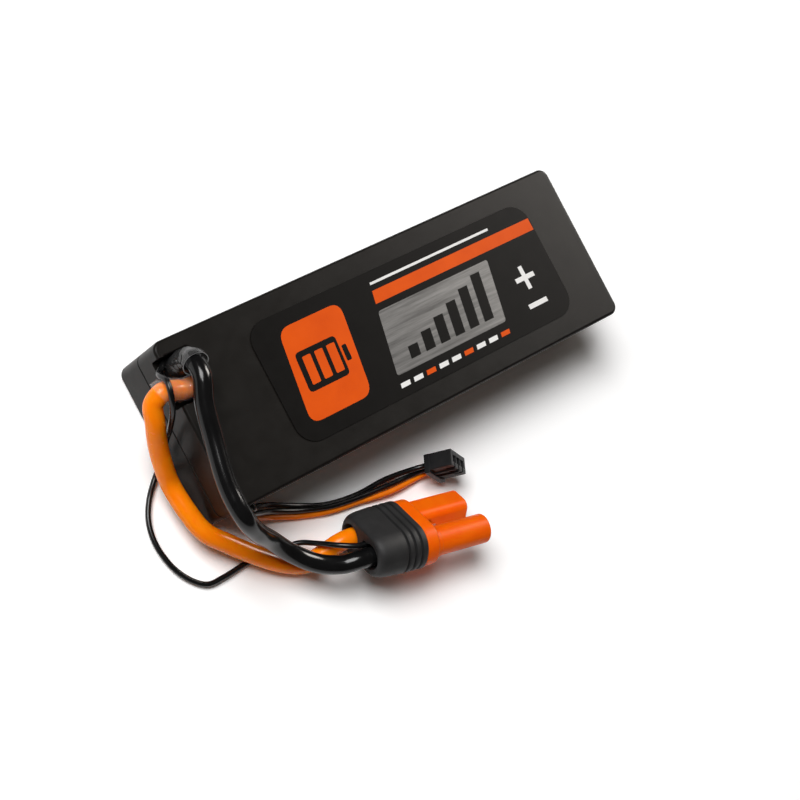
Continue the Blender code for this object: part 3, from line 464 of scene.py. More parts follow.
def buildShell():
    shell = halfCase("caseTop", seamHigh, top, case["seamRound"], case["edge"])
    carve(shell, hollowRoundPocket())
    carve(shell, slab(lipInset - gap, 2 * (case["lipHeight"] + gap), seamHigh))
    carve(shell, pocketBody())
    carve(shell, notchBody())
    span = case["wall"] + gap
    upright = Matrix.Rotation(math.radians(90), 4, "Y")
    wireHole = wireRadius + gap * lead["wireRoom"]
    for x, y, radius, sides in ((blackX, blackY, leadRadius + gap, 48), (dataX, dataY, wireHole, 24)):
        place = Matrix.Translation((x, y, pocketFloor - case["wall"] / 2)) @ upright
        carve(shell, roundBar(radius, -span, span, sides), place)
    slant = Vector((1, 0, 0)).rotation_difference(orangeIn - orangeOut).to_matrix().to_4x4()
    carve(shell, roundBar(leadRadius + gap, -2 * span, 2 * span), Matrix.Translation(orangeIn) @ slant)
    slotBody = roundedBody((slot["length"], slot["height"], 2 * span), (0, 0, 0),
                           slot["height"] * slot["roundShare"])
    slotPlace = Matrix.Translation((slotX, side, slotZ)) @ Matrix.Rotation(math.radians(90), 4, "X")
    carve(shell, slotBody, slotPlace)
    cleanUp(shell)
    keep(shell, "shell_black", "upper_shell")


buildTray()
buildShell()
print("case built")


# label with a plain design of its own; the design's places are in millimetres

label = dict(stripeInset=0.4, cornerShare=0.45,
             **lengths(length=98.8, width=34.7, offset=5.6, corner=6.0, thick=0.2, lift=0.05, edge=0.06,
                       ink=0.03, sink=0.01))
block = dict(left=-39.0, right=-18.5, low=-12.6, high=13.2, slant=4.0, corner=3.6)
battery = dict(left=-35.0, right=-21.6, low=-5.2, high=5.8, slant=1.0, corner=1.4)
cap = dict(left=-20.6, right=-19.0, low=-1.9, high=2.5, slant=0.4, rightSlant=0.3, corner=0.4)
bars = dict(starts=(-33.2, -29.2, -25.2), width=2.7, low=-3.6, high=4.2, slant=0.8, corner=0.4)
panel = dict(left=-9.0, right=31.0, low=-11.4, high=6.4, slant=4.0, corner=0.9)
gauge = dict(first=-2.5, pitch=5.4, count=6, width=3.4, low=-9.0, high=-5.6, rise=2.0, lean=0.2)
stripe = dict(left=-4.5, right=(label["offset"] + label["length"] / 2) / mm - label["stripeInset"],
              low=8.4, high=12.0, slant=0.8, rightSlant=0.0)
line = dict(left=-3.3, right=40.0, low=13.6, high=14.3, slant=0.1, rightSlant=0.2)
signs = dict(x=43.9, plusY=-2.8, minusY=-10.9, half=3.5, arm=0.7)
marks = dict(first=-9.6, pitch=4.6, count=9, width=3.2, low=-14.9, high=-13.6, slant=0.3, orangeEvery=3)


def slanted(left, right, low, high, slant=0.0, rightSlant=None):
    lean = slant if rightSlant is None else rightSlant
    return [(left, low), (right, low), (right + lean, high), (left + slant, high)]


def roundCorners(points, radius, steps=6):  # outline with each corner rounded
    result = []
    for i, corner in enumerate(points):
        here = Vector(corner)
        back = Vector(points[i - 1]) - here
        ahead = Vector(points[(i + 1) % len(points)]) - here
        cutBack = here + back.normalized() * min(radius, back.length * label["cornerShare"])
        cutAhead = here + ahead.normalized() * min(radius, ahead.length * label["cornerShare"])
        for step in range(steps + 1):
            t = step / steps
            p = cutBack * (1 - t) ** 2 + here * (2 * t * (1 - t)) + cutAhead * t ** 2
            result.append((p.x, p.y))
    return result


def cross(x, y, half, arm):
    return [(x - half, y - arm), (x - arm, y - arm), (x - arm, y - half), (x + arm, y - half),
            (x + arm, y - arm), (x + half, y - arm), (x + half, y + arm), (x + arm, y + arm),
            (x + arm, y + half), (x - arm, y + half), (x - arm, y + arm), (x - half, y + arm)]


def inkShape(name, points, layer, finish):
    base = top + label["lift"] + label["thick"]
    levels = (base - label["sink"], base + label["ink"] * layer)
    body = loft([[(x * mm, y * mm, z) for x, y in points] for z in levels])
    keep(addPiece(name, body, made[finish], weighted=False), "label_print")


def roundedInk(name, layer, finish, corner, **sides):
    inkShape(name, roundCorners(slanted(**sides), corner), layer, finish)


def buildFilm():
    size = (label["length"], label["width"], label["thick"])
    middle = (label["offset"], 0.0, top + label["lift"] + label["thick"] / 2)
    body = roundedBody(size, middle, label["corner"], 0, label["edge"], cornerSteps=20, edgeSteps=3)
    keep(addPiece("labelFilm", body, made["filmBlack"]), "label_print", "top_label")


def printBlock():  # battery sign on an orange block
    roundedInk("printBlock", 1, "inkOrange", **block)
    roundedInk("printCell", 2, "inkBlack", **battery)
    roundedInk("printCap", 2, "inkBlack", **cap)
    for number, start in enumerate(bars["starts"], 1):
        bar = slanted(start, start + bars["width"], bars["low"], bars["high"], bars["slant"])
        inkShape("printBar%d" % number, roundCorners(bar, bars["corner"]), 3, "inkOrange")


def printPanel():  # rising gauge on a silver panel
    roundedInk("printPanel", 1, "foilSilver", **panel)
    low = gauge["low"]
    for number in range(gauge["count"]):
        x = gauge["first"] + number * gauge["pitch"]
        high = gauge["high"] + gauge["rise"] * number
        column = slanted(x, x + gauge["width"], low, high, (high - low) * gauge["lean"])
        inkShape("printStep%d" % (number + 1), column, 2, "inkBlack")


def printTrim():  # stripe, line, signs and short marks round the panel
    inkShape("printStripe", slanted(**stripe), 1, "inkOrange")
    inkShape("printLine", slanted(**line), 1, "inkWhite")
    x, half, arm = signs["x"], signs["half"], signs["arm"]
    inkShape("printPlus", cross(x, signs["plusY"], half, arm), 1, "inkWhite")
    for number in range(1, marks["count"] + 1):
        left = marks["first"] + (number - 1) * marks["pitch"]
        mark = slanted(left, left + marks["width"], marks["low"], marks["high"], marks["slant"])
        finish = "inkWhite" if number % marks["orangeEvery"] else "inkOrange"
        inkShape("printMark%d" % number, mark, 1, finish)
    minusY = signs["minusY"]
    inkShape("printMinus", slanted(x - half, x + half, minusY - arm, minusY + arm), 1, "inkWhite")


buildFilm()
printBlock()
printPanel()
printTrim()
print("label laid")


# main connector: housing with two barrels, gold sockets, data contact

connector = dict(at=Vector((end + 50.4 * mm, side - 27.0 * mm, 10.2 * mm)), yaw=-12.4, pitch=1.3,
                 roll=-44.7, keyedRound=0.32, roundShare=0.999, flangeRound=0.46, webShare=0.3,
                 dataSlot=(1.0 * mm, 0.8 * mm), mouthStart=0.98,
                 **lengths(spacing=11.6, barrel=4.1, barrelLength=17.8, barrelRoot=0.1, barrelEdge=0.5,
                           keyed=7.2, flangeLength=21.6, flangeHeight=12.4, flangeThick=3.8, backEdge=0.4,
                           frontEdge=0.6, collar=0.3, collarLength=1.6, collarEdge=0.35, webHalf=1.2,
                           webEdge=0.3, mouthDepth=0.5, mouthReach=0.3, mouthFlare=0.55))
socket = dict(sides=40, slitTurns=(45, 135),
              **lengths(radius=2.9, bore=2.5, setBack=1.5, chamfer=0.15, boreFrom=3, slit=0.2,
                        slitLength=7, slitPast=2))
contact = lengths(length=8.0, halfWidth=0.7, halfHeight=0.5, edge=0.15)


def turned(at, yaw, pitch, roll):  # place of a piece from its angles in degrees
    return (Matrix.Translation(at) @ Matrix.Rotation(math.radians(yaw), 4, "Z")
            @ Matrix.Rotation(math.radians(pitch), 4, "Y") @ Matrix.Rotation(math.radians(roll), 4, "X"))


connectorPlace = turned(connector["at"], connector["yaw"], connector["pitch"], connector["roll"])
alongX = Matrix(((0, 0, 1, 0), (1, 0, 0, 0), (0, 1, 0, 0), (0, 0, 0, 1)))
halfFlange = connector["flangeThick"] / 2
barrelEnd = halfFlange + connector["barrelLength"]


def acrossBody(length, height, low, high, corner, lowEdge=0.0, highEdge=0.0, steps=12):
    size = (length, height, high - low)
    bm = roundedBody(size, (0, 0, (low + high) / 2), corner, lowEdge, highEdge, steps, edgeSteps=4)
    bm.transform(alongX)
    return bm


def offAxis(spacing, sign):  # place of one of the two sides of the connector
    return connectorPlace @ Matrix.Translation((0, sign * spacing / 2, 0))


def addBarrel(housing, sign, height, corner):
    width = 2 * connector["barrel"]
    grow = connector["collar"]
    place = offAxis(connector["spacing"], sign)
    collar = acrossBody(width + 2 * grow, height + 2 * grow, 0.0, halfFlange + connector["collarLength"],
                        corner + grow, 0, connector["collarEdge"])
    carve(housing, collar, place, "UNION")
    barrel = acrossBody(width, height, connector["barrelRoot"], barrelEnd, corner,
                        0, connector["barrelEdge"])
    carve(housing, barrel, place, "UNION")


def boreBarrel(housing, sign):
    bore = socket["radius"] + gap
    place = offAxis(connector["spacing"], sign)
    carve(housing, roundBar(bore, -connector["flangeThick"], 2 * barrelEnd), place)
    inner = ringAlongX(barrelEnd - connector["mouthDepth"], bore * connector["mouthStart"])
    outer = ringAlongX(barrelEnd + connector["mouthReach"], bore + connector["mouthFlare"])
    carve(housing, loft([inner, outer]), place)


def buildHousing():
    flange = acrossBody(connector["flangeLength"], connector["flangeHeight"], -halfFlange, halfFlange,
                        connector["flangeHeight"] * connector["flangeRound"],
                        connector["backEdge"], connector["frontEdge"], steps=16)
    housing = addPiece("connectorHousing", flange, made["housingOrange"], connectorPlace)
    keyed = connector["keyed"]
    addBarrel(housing, 1, keyed, keyed * connector["keyedRound"])
    addBarrel(housing, -1, 2 * connector["barrel"], connector["barrel"] * connector["roundShare"])
    webHalf = connector["webHalf"]
    webEnd = halfFlange + connector["barrelLength"] * connector["webShare"]
    web = boxBody((halfFlange - gap, -connector["spacing"] / 2, -webHalf),
                  (webEnd, connector["spacing"] / 2, webHalf))
    carve(housing, softEdges(web, connector["webEdge"]), connectorPlace, "UNION")
    for sign in (1, -1):
        boreBarrel(housing, sign)
    across, up = connector["dataSlot"]
    dataSlot = boxBody((-connector["flangeThick"], -across, -up), (2 * barrelEnd, across, up))
    carve(housing, dataSlot, connectorPlace)
    cleanUp(housing, sharpAt["fine"])
    keep(housing, "housing_orange", "connector_housing")


def buildSocket(name, node, sign):
    place = offAxis(connector["spacing"], sign)
    front = barrelEnd - socket["setBack"]
    reach = 2 * socket["radius"]
    body = roundBar(socket["radius"], -halfFlange, front, socket["sides"], socket["chamfer"])
    piece = addPiece(name, body, made["socketGold"], place)
    bore = roundBar(socket["bore"], -halfFlange + socket["boreFrom"], 2 * barrelEnd, socket["sides"])
    carve(piece, bore, place)
    for turn in socket["slitTurns"]:  # slits that let the socket spring
        blade = boxBody((front - socket["slitLength"], -socket["slit"], -reach),
                        (front + socket["slitPast"], socket["slit"], reach))
        carve(piece, blade, place @ Matrix.Rotation(math.radians(turn), 4, "X"))
    cleanUp(piece, sharpAt["fine"])
    keep(piece, "socket_gold", node)


def buildDataContact():
    across, up = contact["halfWidth"], contact["halfHeight"]
    body = softEdges(boxBody((-halfFlange, -across, -up), (contact["length"], across, up)), contact["edge"])
    keep(addPiece("contactData", body, made["contactTin"], connectorPlace), "contact_tin", "data_contact")


buildHousing()
buildSocket("socketPositive", "positive_socket", 1)
buildSocket("socketNegative", "negative_socket", -1)
buildDataContact()
print("connector built")


# boot behind the flange; its profile gives share of length from the front, and swell

boot = dict(front=(22.2 * mm, 13.2 * mm), back=(20.2 * mm, 11.8 * mm), roundShare=0.92,
            wireHole=(-1.7 * mm, 2.0 * mm),
            flare=((-0.5 * mm, 3.9 * mm), (0.1 * mm, 3.62 * mm), (0.6 * mm, 3.36 * mm)),
            **lengths(length=14.7, hole=3.2, holeSpacing=9.8, flareEnd=1.2))
bootProfile = (
    (0.0, 0.8), (0.01, 0.94), (0.03, 1.0),
    (0.085, 1.0), (0.1, 0.9), (0.112, 0.25), (0.148, 0.25), (0.16, 0.9), (0.175, 1.0),
    (0.225, 1.0), (0.24, 0.9), (0.252, 0.2), (0.288, 0.2), (0.3, 0.88), (0.315, 0.98),
    (0.365, 0.96), (0.38, 0.86), (0.392, 0.12), (0.428, 0.12), (0.44, 0.83), (0.455, 0.92),
    (0.55, 0.84), (0.65, 0.75), (0.74, 0.63), (0.82, 0.5), (0.87, 0.34),
    (0.91, 0.14), (0.94, -0.1), (0.965, -0.4), (0.985, -0.75), (1.0, -1.2),
)
bootFront = -halfFlange - gap
bootBack = bootFront - boot["length"]


def buildBoot():
    rings = []
    for share, swell in bootProfile:
        ends = zip(boot["front"], boot["back"])
        halfX, halfY = [(back + (front - back) * swell) / 2 for front, back in ends]
        outline = roundedOutline(halfX, halfY, halfY * boot["roundShare"], steps=14)
        rings.append([(bootFront - boot["length"] * share, x, y) for x, y in outline])
    piece = addPiece("connectorBoot", loft(rings), made["bootGrey"], connectorPlace)
    hole = [(bootBack + place, radius) for place, radius in boot["flare"]]
    hole += [(bootBack + boot["flareEnd"], boot["hole"]), (bootFront + gap, boot["hole"])]
    for sign in (1, -1):
        carve(piece, loft([ringAlongX(x, r) for x, r in hole]), offAxis(boot["holeSpacing"], sign))
    wireHole = roundBar(wireRadius + gap, bootBack - gap, bootFront + gap, sides=24)
    carve(piece, wireHole, connectorPlace @ Matrix.Translation((0, *boot["wireHole"])))
    cleanUp(piece, sharpAt["ribs"])
    keep(piece, "boot_grey", "connector_boot")


buildBoot()
print("boot built")


# balance plug and its contacts

plug = dict(at=Vector((end + 70.6 * mm, side - 15.6 * mm, 8.6 * mm)), yaw=-20.8, tilt=-53.6, roll=77.5,
            **lengths(pitch=2.5, width=9.8, height=5.6, length=8.2, slot=1.5, rim=0.8, inset=0.25,
                      edge=0.18, collarDrop=0.05, collarEdge=0.15, entry=2.5, approach=2.0))
rib = lengths(at=1.25, half=0.3, sink=0.2, rise=0.35, short=0.6, edge=0.1)
window = dict(start=0.35, half=0.4 * mm)
clip = dict(openShare=0.6, **lengths(short=1.2, edge=0.12, closed=2))
plugPlace = turned(plug["at"], plug["yaw"], plug["tilt"], plug["roll"])
plugHalf = plug["length"] / 2
plugEntry = -plugHalf + plug["entry"]
plugSlotZ = -plug["rim"] / 2


def plugBox(x0, x1, middle, half):  # square bar along the plug at the height of its slots
    return boxBody((x0, middle - half, plugSlotZ - half), (x1, middle + half, plugSlotZ + half))


def buildPlug():
    halfW = plug["width"] / 2
    halfH = plug["height"] / 2
    rim = plug["rim"]
    ledge = halfH - rim
    body = boxBody((-plugHalf, -halfW + plug["inset"], -halfH), (plugHalf, halfW - plug["inset"], ledge))
    piece = addPiece("balancePlug", softEdges(body, plug["edge"]), made["plugBlack"], plugPlace)
    collar = boxBody((-plugHalf, -halfW, -halfH + plug["collarDrop"]), (-plugHalf + 2 * rim, halfW, halfH))
    carve(piece, softEdges(collar, plug["collarEdge"]), plugPlace, "UNION")
    for sign in (-1, 1):  # guide ribs along the top
        middle = sign * rib["at"]
        bar = boxBody((-plugHalf + rim, middle - rib["half"], ledge - rib["sink"]),
                      (plugHalf - rib["short"], middle + rib["half"], ledge + rib["rise"]))
        carve(piece, softEdges(bar, rib["edge"]), plugPlace, "UNION")
    for index in (-1, 0, 1):
        middle = index * plug["pitch"]
        carve(piece, plugBox(-2 * plugHalf, 2 * plugHalf, middle, plug["slot"] / 2 + gap), plugPlace)
        opening = boxBody((plugHalf * window["start"], middle - window["half"], plugSlotZ),
                          (2 * plugHalf, middle + window["half"], plug["height"]))
        carve(piece, opening, plugPlace)
    cleanUp(piece, sharpAt["fine"])
    keep(piece, "plug_black", "balance_plug")


def buildClip(name, node, index):
    middle = index * plug["pitch"]
    half = plug["slot"] / 2
    low = plugEntry + gap
    body = softEdges(plugBox(low, plugHalf - clip["short"], middle, half), clip["edge"])
    piece = addPiece(name, body, made["contactTin"], plugPlace)
    carve(piece, plugBox(low + clip["closed"], 2 * plugHalf, middle, half * clip["openShare"]), plugPlace)
    cleanUp(piece, sharpAt["fine"])
    keep(piece, "contact_tin", node)


buildPlug()
buildClip("contactNegative", "negative_contact", 1)
buildClip("contactMiddle", "middle_contact", 0)
buildClip("contactPositive", "positive_contact", -1)
print("balance plug built")


# leads and wires, through the same points as the solids

rest = lead["floor"] + leadRadius
wireRest = lead["floor"] + wireRadius
leadStop = pocketFloor - case["wall"]
bootHalf = boot["holeSpacing"] / 2
dataHole = boot["wireHole"]


def shifted(base, *shifts):  # places so many millimetres from a base point
    return [Vector(base) + Vector(shift) * mm for shift in shifts]


def bootPoint(x, y, z=0.0):
    return connectorPlace @ Vector((x, y, z))


negativeRoute = [
    Vector((blackX, blackY, leadStop + gap)),
    *shifted((blackX, blackY, pocketFloor), (0, 0, 4.0)),
    *shifted((blackX, blackY, top), (0, 0, -2.0), (0, 0.1, 1.4), (-0.3, -1.3, 6.1), (-1.2, -5.7, 8.4)),
    *shifted((end, orangeY, top), (2.2, -6.0, 7.2), (0.8, -13.9, 5.8)),
    *shifted((end, side, top), (-1.6, 6.5, 5.0), (-1.2, -1.5, 4.2), (2.6, -6.3, -1.5)),
    *shifted((end, side, rest), (9.0, -10.6, 13.2), (14.9, -16.5, 8.9), (20.5, -21.9, 8.2),
             (26.1, -25.1, 9.4)),
    bootPoint(bootBack - 3.0 * mm, -bootHalf),
    bootPoint(bootBack + 4.0 * mm, -bootHalf),
    bootPoint(bootFront, -bootHalf),
]
positiveRoute = [
    orangeIn.copy(),
    orangeIn.lerp(orangeOut, 0.35),
    orangeIn.lerp(orangeOut, 0.7),
    orangeOut + Vector((0.2, 0.7, -0.2)) * mm,
    *shifted((end, orangeY, top), (-3.6, 1.4, 1.0), (-6.4, -0.2, -1.1), (-7.0, -4.0, -3.4),
             (-6.7, -8.6, -8.5)),
    *shifted((end, orangeY, rest), (-6.0, -13.4, 9.1)),
    *shifted((end, side, rest), (-4.9, 14.1, 4.9), (-4.1, 5.9, 4.6), (-2.4, -0.8, 4.5), (2.0, -6.0, 3.9),
             (8.0, -12.0, 2.6), (14.8, -17.6, 1.3), (21.3, -20.7, 0.4), (27.4, -20.4, 1.6)),
    bootPoint(bootBack - 2.5 * mm, bootHalf, -0.8 * mm),
    bootPoint(bootBack + 3.0 * mm, bootHalf, -0.2 * mm),
    bootPoint(bootFront, bootHalf),
]
dataRoute = [
    Vector((dataX, dataY, leadStop + gap)),
    *shifted((dataX, dataY, notchZ), (0, 0, 0.6), (-1.0, -0.6, 2.1)),
    *shifted((end, dataY, top), (-1.4, -2.2, -0.2), (-2.9, -3.4, 2.7)),
    *shifted((end, orangeY, top), (-3.3, 2.9, 5.6), (-4.0, -0.4, 5.6), (-3.9, -4.0, 1.8),
             (-2.9, -7.0, -6.4)),
    *shifted((end, orangeY, wireRest), (-2.4, -9.6, 9.7), (-2.2, -12.6, 3.55)),
    *shifted((end, side, wireRest), (-4.6, 17.9, 0.25), (-9.4, 12.9, 0.05), (-12.2, 7.9, 0.0),
             (-13.2, 1.9, 0.0), (-11.8, -5.5, 0.0), (-8.6, -10.7, 0.0), (-5.4, -13.1, 0.0),
             (-0.8, -13.4, 0.0), (7.0, -13.1, 0.0), (16.0, -14.1, 0.0), (21.8, -14.9, 2.6),
             (24.9, -17.2, 5.9), (28.6, -20.6, 10.6)),
    bootPoint(bootBack - 1.6 * mm, *dataHole),
    bootPoint(bootBack + 2.0 * mm, *dataHole),
    bootPoint(bootFront, *dataHole),
]
wireStep = lead["wire"] + lead["wireSpread"] * gap
stations = (  # middle wire's places in millimetres, then the angle round it at which each outer wire lies
    ((7.6, -2.0, 13.8), 125, 290),
    ((12.4, -2.9, 8.9), 185, 300),
    ((18.6, -4.2, 3.9), 190, 315),
    ((27.4, -7.6, 1.4), 215, 315),
    ((35.9, -10.4, 1.6), 240, 310),
    ((45.6, -12.0, 1.6), 240, 310),
    ((55.4, -13.0, 1.6), 180, 345),
)


def slotPoint(index, out):  # place of a balance wire in the slot in the side
    return Vector((slotX + index * wireStep, side - out, slotZ))


def plugPoint(index, x):  # place of a balance wire on the plug's own axis
    return plugPlace @ Vector((x, index * plug["pitch"], plugSlotZ))


def besideRun(before, after, angle):  # direction square to a run, turned about it from the level
    run = (after - before).normalized()
    level = run.cross(Vector((0, 0, 1))).normalized()
    turn = math.radians(angle)
    return level * math.cos(turn) + level.cross(run) * math.sin(turn)


def balanceRoute(index):  # out of the slot in the side and along the floor to the plug
    plugBack = -plugHalf - plug["approach"]
    places = shifted((end, side, wireRest), *[place for place, first, second in stations])
    run = [slotPoint(0, wireRadius), *places, plugPoint(0, plugBack)]
    route = [slotPoint(index, gap - case["wall"]), slotPoint(index, wireRadius)]
    for number, (place, first, second) in enumerate(stations):
        point = places[number].copy()
        if index:
            point += besideRun(run[number], run[number + 2], first if index > 0 else second) * wireStep
        route.append(point)
    return route + [plugPoint(index, plugBack), plugPoint(index, plugEntry)]


def handlesAt(before, here, after):  # pulls on both sides of a point that give one smooth line
    a = (here - before).length ** 0.5
    b = (after - here).length ** 0.5
    left = before * b ** 2 - after * a ** 2 + here * (2 * b ** 2 + 3 * a * b + a ** 2)
    right = after * a ** 2 - before * b ** 2 + here * (2 * a ** 2 + 3 * a * b + b ** 2)
    return left / (3 * b * (a + b)), right / (3 * a * (a + b))


def pullsOf(route):  # the route is carried on past both its ends
    padded = [route[0] * 2 - route[1], *route, route[-1] * 2 - route[-2]]
    return [handlesAt(*padded[i:i + 3]) for i in range(len(route))]


def walk(route, steps=24):  # dense points on the smooth line
    pulls = pullsOf(route)
    dense = []
    for i in range(len(route) - 1):
        p1, p2 = route[i], route[i + 1]
        h1, h2 = pulls[i][1], pulls[i + 1][0]
        for step in range(steps):
            t = step / steps
            u = 1 - t
            dense.append(p1 * u ** 3 + h1 * (3 * t * u ** 2) + h2 * (3 * t * t * u) + p2 * t ** 3)
    dense.append(route[-1].copy())
    return dense


def lengthOf(points):
    return sum((b - a).length for a, b in zip(points, points[1:]))


def smoothCord(name, route, diameter, material):  # one curve through the route, no kinks
    curve = bpy.data.curves.new(name, "CURVE")
    curve.dimensions = "3D"
    curve.bevel_depth = diameter / 2
    curve.bevel_resolution = 8
    curve.use_fill_caps = True
    spline = curve.splines.new("BEZIER")
    spline.resolution_u = 10
    spline.bezier_points.add(len(route) - 1)
    for point, here, (left, right) in zip(spline.bezier_points, route, pullsOf(route)):
        point.handle_left_type = "FREE"
        point.handle_right_type = "FREE"
        point.co = here
        point.handle_left = left
        point.handle_right = right
    curve.materials.append(material)
    piece = bpy.data.objects.new(name, curve)
    bpy.context.scene.collection.objects.link(piece)
    return piece


sleeve = dict(sides=40, every=2, flarePower=1.6, dentWaves=(2600, 900), wrinkleWaves=2900, swing=1.6,
              lean=0.7,
              **lengths(start=3.7, negativeStop=18.6, positiveStop=15.0, flare=0.6, flareReach=6.0,
                        dent=0.04, wrinkle=0.1))


def ringsAlong(route, start, stop):  # point, two cross directions and reach at each ring of a sleeve
    dense = walk(route)
    rings = []
    reach = 0.0
    sideways = None
    for i, point in enumerate(dense):
        if i:
            reach += (point - dense[i - 1]).length
        ahead = dense[min(i + 1, len(dense) - 1)] - dense[max(i - 1, 0)]
        ahead.normalize()
        if sideways is None:
            sideways = ahead.orthogonal().normalized()
        sideways = (sideways - ahead * sideways.dot(ahead)).normalized()
        if start <= reach <= stop:
            rings.append((point, sideways.copy(), ahead.cross(sideways), reach))
    last = [rings[-1]] if (len(rings) - 1) % sleeve["every"] else []
    return rings[::sleeve["every"]] + last


def unevenness(along, a):  # shallow dents, and the wrinkles of a tube shrunk round a bend
    first, second = sleeve["dentWaves"]
    dents = sleeve["dent"] * math.sin(along * first + 2 * a) * math.sin(3 * a + along * second)
    swing = sleeve["swing"] * math.sin(a + sleeve["lean"])
    return dents + sleeve["wrinkle"] * math.sin(along * sleeve["wrinkleWaves"] + swing)


def sleeveAlong(name, route, stop, node, finish):  # clear tube round a stretch of a lead
    sides = sleeve["sides"]
    bm = bmesh.new()
    loops = []
    for point, one, two, along in ringsAlong(route, sleeve["start"], stop):
        grow = sleeve["flare"] * max(0.0, 1 - (stop - along) / sleeve["flareReach"]) ** sleeve["flarePower"]
        pair = []
        for radius in (sleeveOuter, sleeveInner):
            ring = []
            for s in range(sides):
                a = math.tau * s / sides
                out = one * math.cos(a) + two * math.sin(a)
                ring.append(bm.verts.new(point + out * (radius + grow + unevenness(along, a))))
            pair.append(ring)
        loops.append(pair)
    following = [(i, (i + 1) % sides) for i in range(sides)]
    for first, second in zip(loops, loops[1:]):
        for here, ahead in zip(first, second):
            for i, j in following:
                bm.faces.new((here[i], here[j], ahead[j], ahead[i]))
    for outside, inside in (loops[0], loops[-1]):  # the cut ends are milky
        for i, j in following:
            bm.faces.new((outside[i], outside[j], inside[j], inside[i])).material_index = 1
    piece = addPiece(name, bm, made[finish], None, sharpAt["tube"], False)
    piece.data.materials.append(made["tubeRim"])
    keep(piece, "sleeve_clear", node)


def layCord(name, node, route, diameter, finish, slotName, farEnd, *carried):
    piece = keep(smoothCord(name, route, diameter, made[finish]), slotName, node)
    lengthOf(walk(route))


# the black lead's sleeve takes the darkened clear tube, painted shade over the lead's reflection
sleeveAlong("sleeveNegative", negativeRoute, sleeve["negativeStop"], "negative_sleeve", "tubeClearShaded")
sleeveAlong("sleevePositive", positiveRoute, sleeve["positiveStop"], "positive_sleeve", "tubePale")
layCord("leadNegative", "negative_lead", negativeRoute, lead["diameter"], "leadBlack", "silicone_black",
        "connector", "sleeveNegative", "connectorBoot", "connectorHousing", "socketNegative")
layCord("leadPositive", "positive_lead", positiveRoute, lead["diameter"], "leadOrange", "silicone_orange",
        "connector", "sleevePositive", "socketPositive")
layCord("wireData", "data_wire", dataRoute, lead["wire"], "wireBlack", "silicone_black",
        "connector", "contactData")
layCord("wireNegative", "balance_wire_negative", balanceRoute(1), lead["wire"], "wireBlack",
        "silicone_black", "plug", "contactNegative")
layCord("wireMiddle", "balance_wire_middle", balanceRoute(0), lead["wire"], "wireBlack",
        "silicone_black", "plug", "balancePlug", "contactMiddle")
layCord("wirePositive", "balance_wire_positive", balanceRoute(-1), lead["wire"], "wireOrange",
        "silicone_orange", "plug", "contactPositive")
print("leads and wires laid")


# finishes on the solids inside the case

inside = {
    "pouchFoil": ("lower_cell", "upper_cell"),
    "foamGrey": ("bottom_pad", "cell_spacer", "top_pad", "end_pad"),
    "tabNickel": ("negative_tab", "positive_tab", "lower_series_tab", "upper_series_tab", "series_link"),
    "boardGreen": ("circuit_board",),
    "chipBlack": ("controller_chip", "temperature_sensor"),
    "filmAmber": ("insulating_sheet",),
}
for finish, names in inside.items():
    for name in names:
        nodes[name].data.materials.clear()
        nodes[name].data.materials.append(made[finish])
print("inner pieces finished")


# floor, light and camera

floorSheet = dict(size=14.0, drop=0.0002, grey=0.93, seenWhite=1.12, fleck=400, fleckDepth=0.995,
                  rough=0.9, gloss=0.1)
sky = dict(strength=0.07, tint=(1.0, 0.88, 0.79))
keyBox = dict(place=(-1.25, 1.7, 3.3), target=(0, 0, 0), power=176.0, size=2.0, colour=(1, 1, 1))
sheenBox = dict(place=(0.9, 0.2, 0.62), target=(0.05, 0, 0), power=13.0, size=0.45, colour=(1.0, 0.95, 0.89))
view = dict(place=(-0.2622, -0.0219, 0.4251), right=(0.753, -0.4644, 0.4662),
            down=(-0.3891, -0.8856, -0.2537), lens=80.03, sensor=36.0, clip=0.01)


def seenOrMirrored(tree):  # 1 where the floor is seen directly, mirrored or through the sleeves
    paths = tree.nodes.new("ShaderNodeLightPath")
    seen = paths.outputs["Is Camera Ray"]
    for other in ("Is Glossy Ray", "Is Transmission Ray"):
        either = tree.nodes.new("ShaderNodeMath")
        either.operation = "MAXIMUM"
        tree.links.new(seen, either.inputs[0])
        tree.links.new(paths.outputs[other], either.inputs[1])
        seen = either.outputs[0]
    return seen


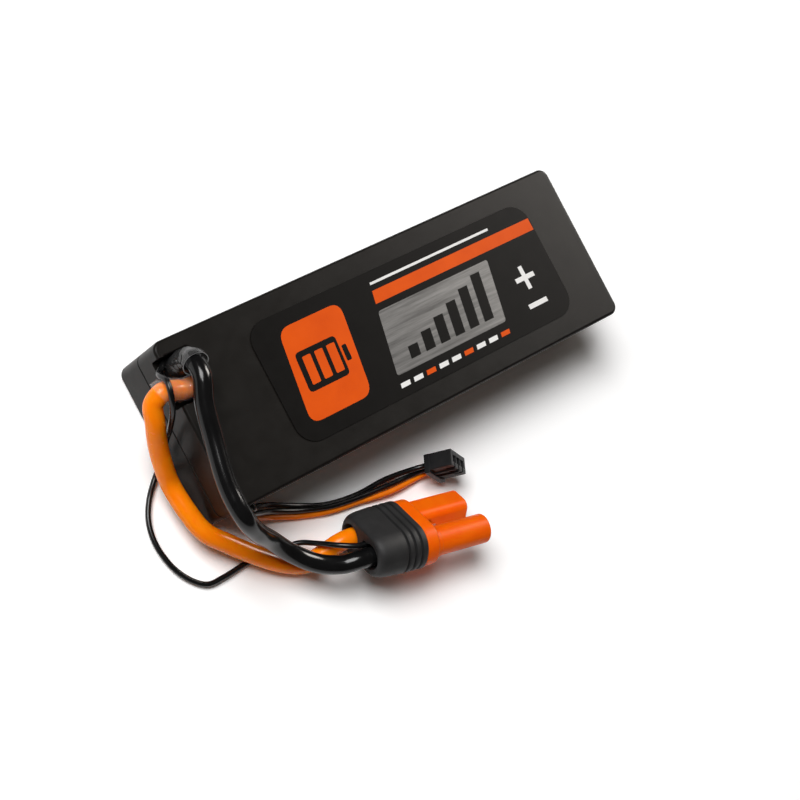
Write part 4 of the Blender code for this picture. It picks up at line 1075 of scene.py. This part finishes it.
def paperFinish():
    material, tree, shader = newFinish("floorPaper")
    shader.inputs["Roughness"].default_value = floorSheet["rough"]
    shader.inputs["Specular IOR Level"].default_value = floorSheet["gloss"]
    blend = tree.nodes.new("ShaderNodeMix")
    blend.data_type = "RGBA"
    fleck = noiseOf(tree, floorSheet["fleck"])
    tree.links.new(seenOrMirrored(tree), blend.inputs["Factor"])
    levels = ((6, floorSheet["grey"]), (7, floorSheet["seenWhite"]))  # by the blend's two colour inputs
    for colourInput, level in levels:
        paper = tones(tree, fleck, (level * floorSheet["fleckDepth"],) * 3, (level,) * 3)
        tree.links.new(paper, blend.inputs[colourInput])
    tree.links.new(blend.outputs[2], shader.inputs["Base Color"])
    return material


def buildFloor():
    bm = bmesh.new()
    half = floorSheet["size"] / 2
    corners = ((-half, -half), (half, -half), (half, half), (-half, half))
    bm.faces.new([bm.verts.new((x, y, -floorSheet["drop"])) for x, y in corners])
    addPiece("floorSheet", bm, paperFinish(), weighted=False)


def areaLight(name, box, glossOnly=False):
    lamp = bpy.data.lights.new(name, "AREA")
    lamp.energy = box["power"]
    lamp.size = box["size"]
    lamp.color = box["colour"]
    holder = bpy.data.objects.new(name, lamp)
    bpy.context.scene.collection.objects.link(holder)
    place = Vector(box["place"])
    holder.location = place
    holder.rotation_euler = (Vector(box["target"]) - place).to_track_quat("-Z", "Y").to_euler()
    holder.visible_diffuse = not glossOnly


def buildSky():
    world = bpy.data.worlds.new("studio")
    bpy.context.scene.world = world
    world.use_nodes = True
    background = world.node_tree.nodes["Background"]
    background.inputs["Color"].default_value = (*sky["tint"], 1.0)
    background.inputs["Strength"].default_value = sky["strength"]


def buildCamera():
    camera = bpy.data.cameras.new("photoCamera")
    camera.lens = view["lens"]
    camera.sensor_width = view["sensor"]
    camera.clip_start = view["clip"]
    holder = bpy.data.objects.new("photoCamera", camera)
    bpy.context.scene.collection.objects.link(holder)
    right = Vector(view["right"]).normalized()
    down = Vector(view["down"])
    down = (down - right * down.dot(right)).normalized()
    turn = Matrix((right, -down, right.cross(-down).normalized())).transposed().to_4x4()
    holder.matrix_world = Matrix.Translation(view["place"]) @ turn
    bpy.context.scene.camera = holder


buildFloor()
buildSky()
areaLight("keyBox", keyBox)
areaLight("sheenBox", sheenBox, glossOnly=True)  # only mirrored in the gloss
buildCamera()
bpy.context.scene.view_settings.view_transform = "Standard"
print("studio set")
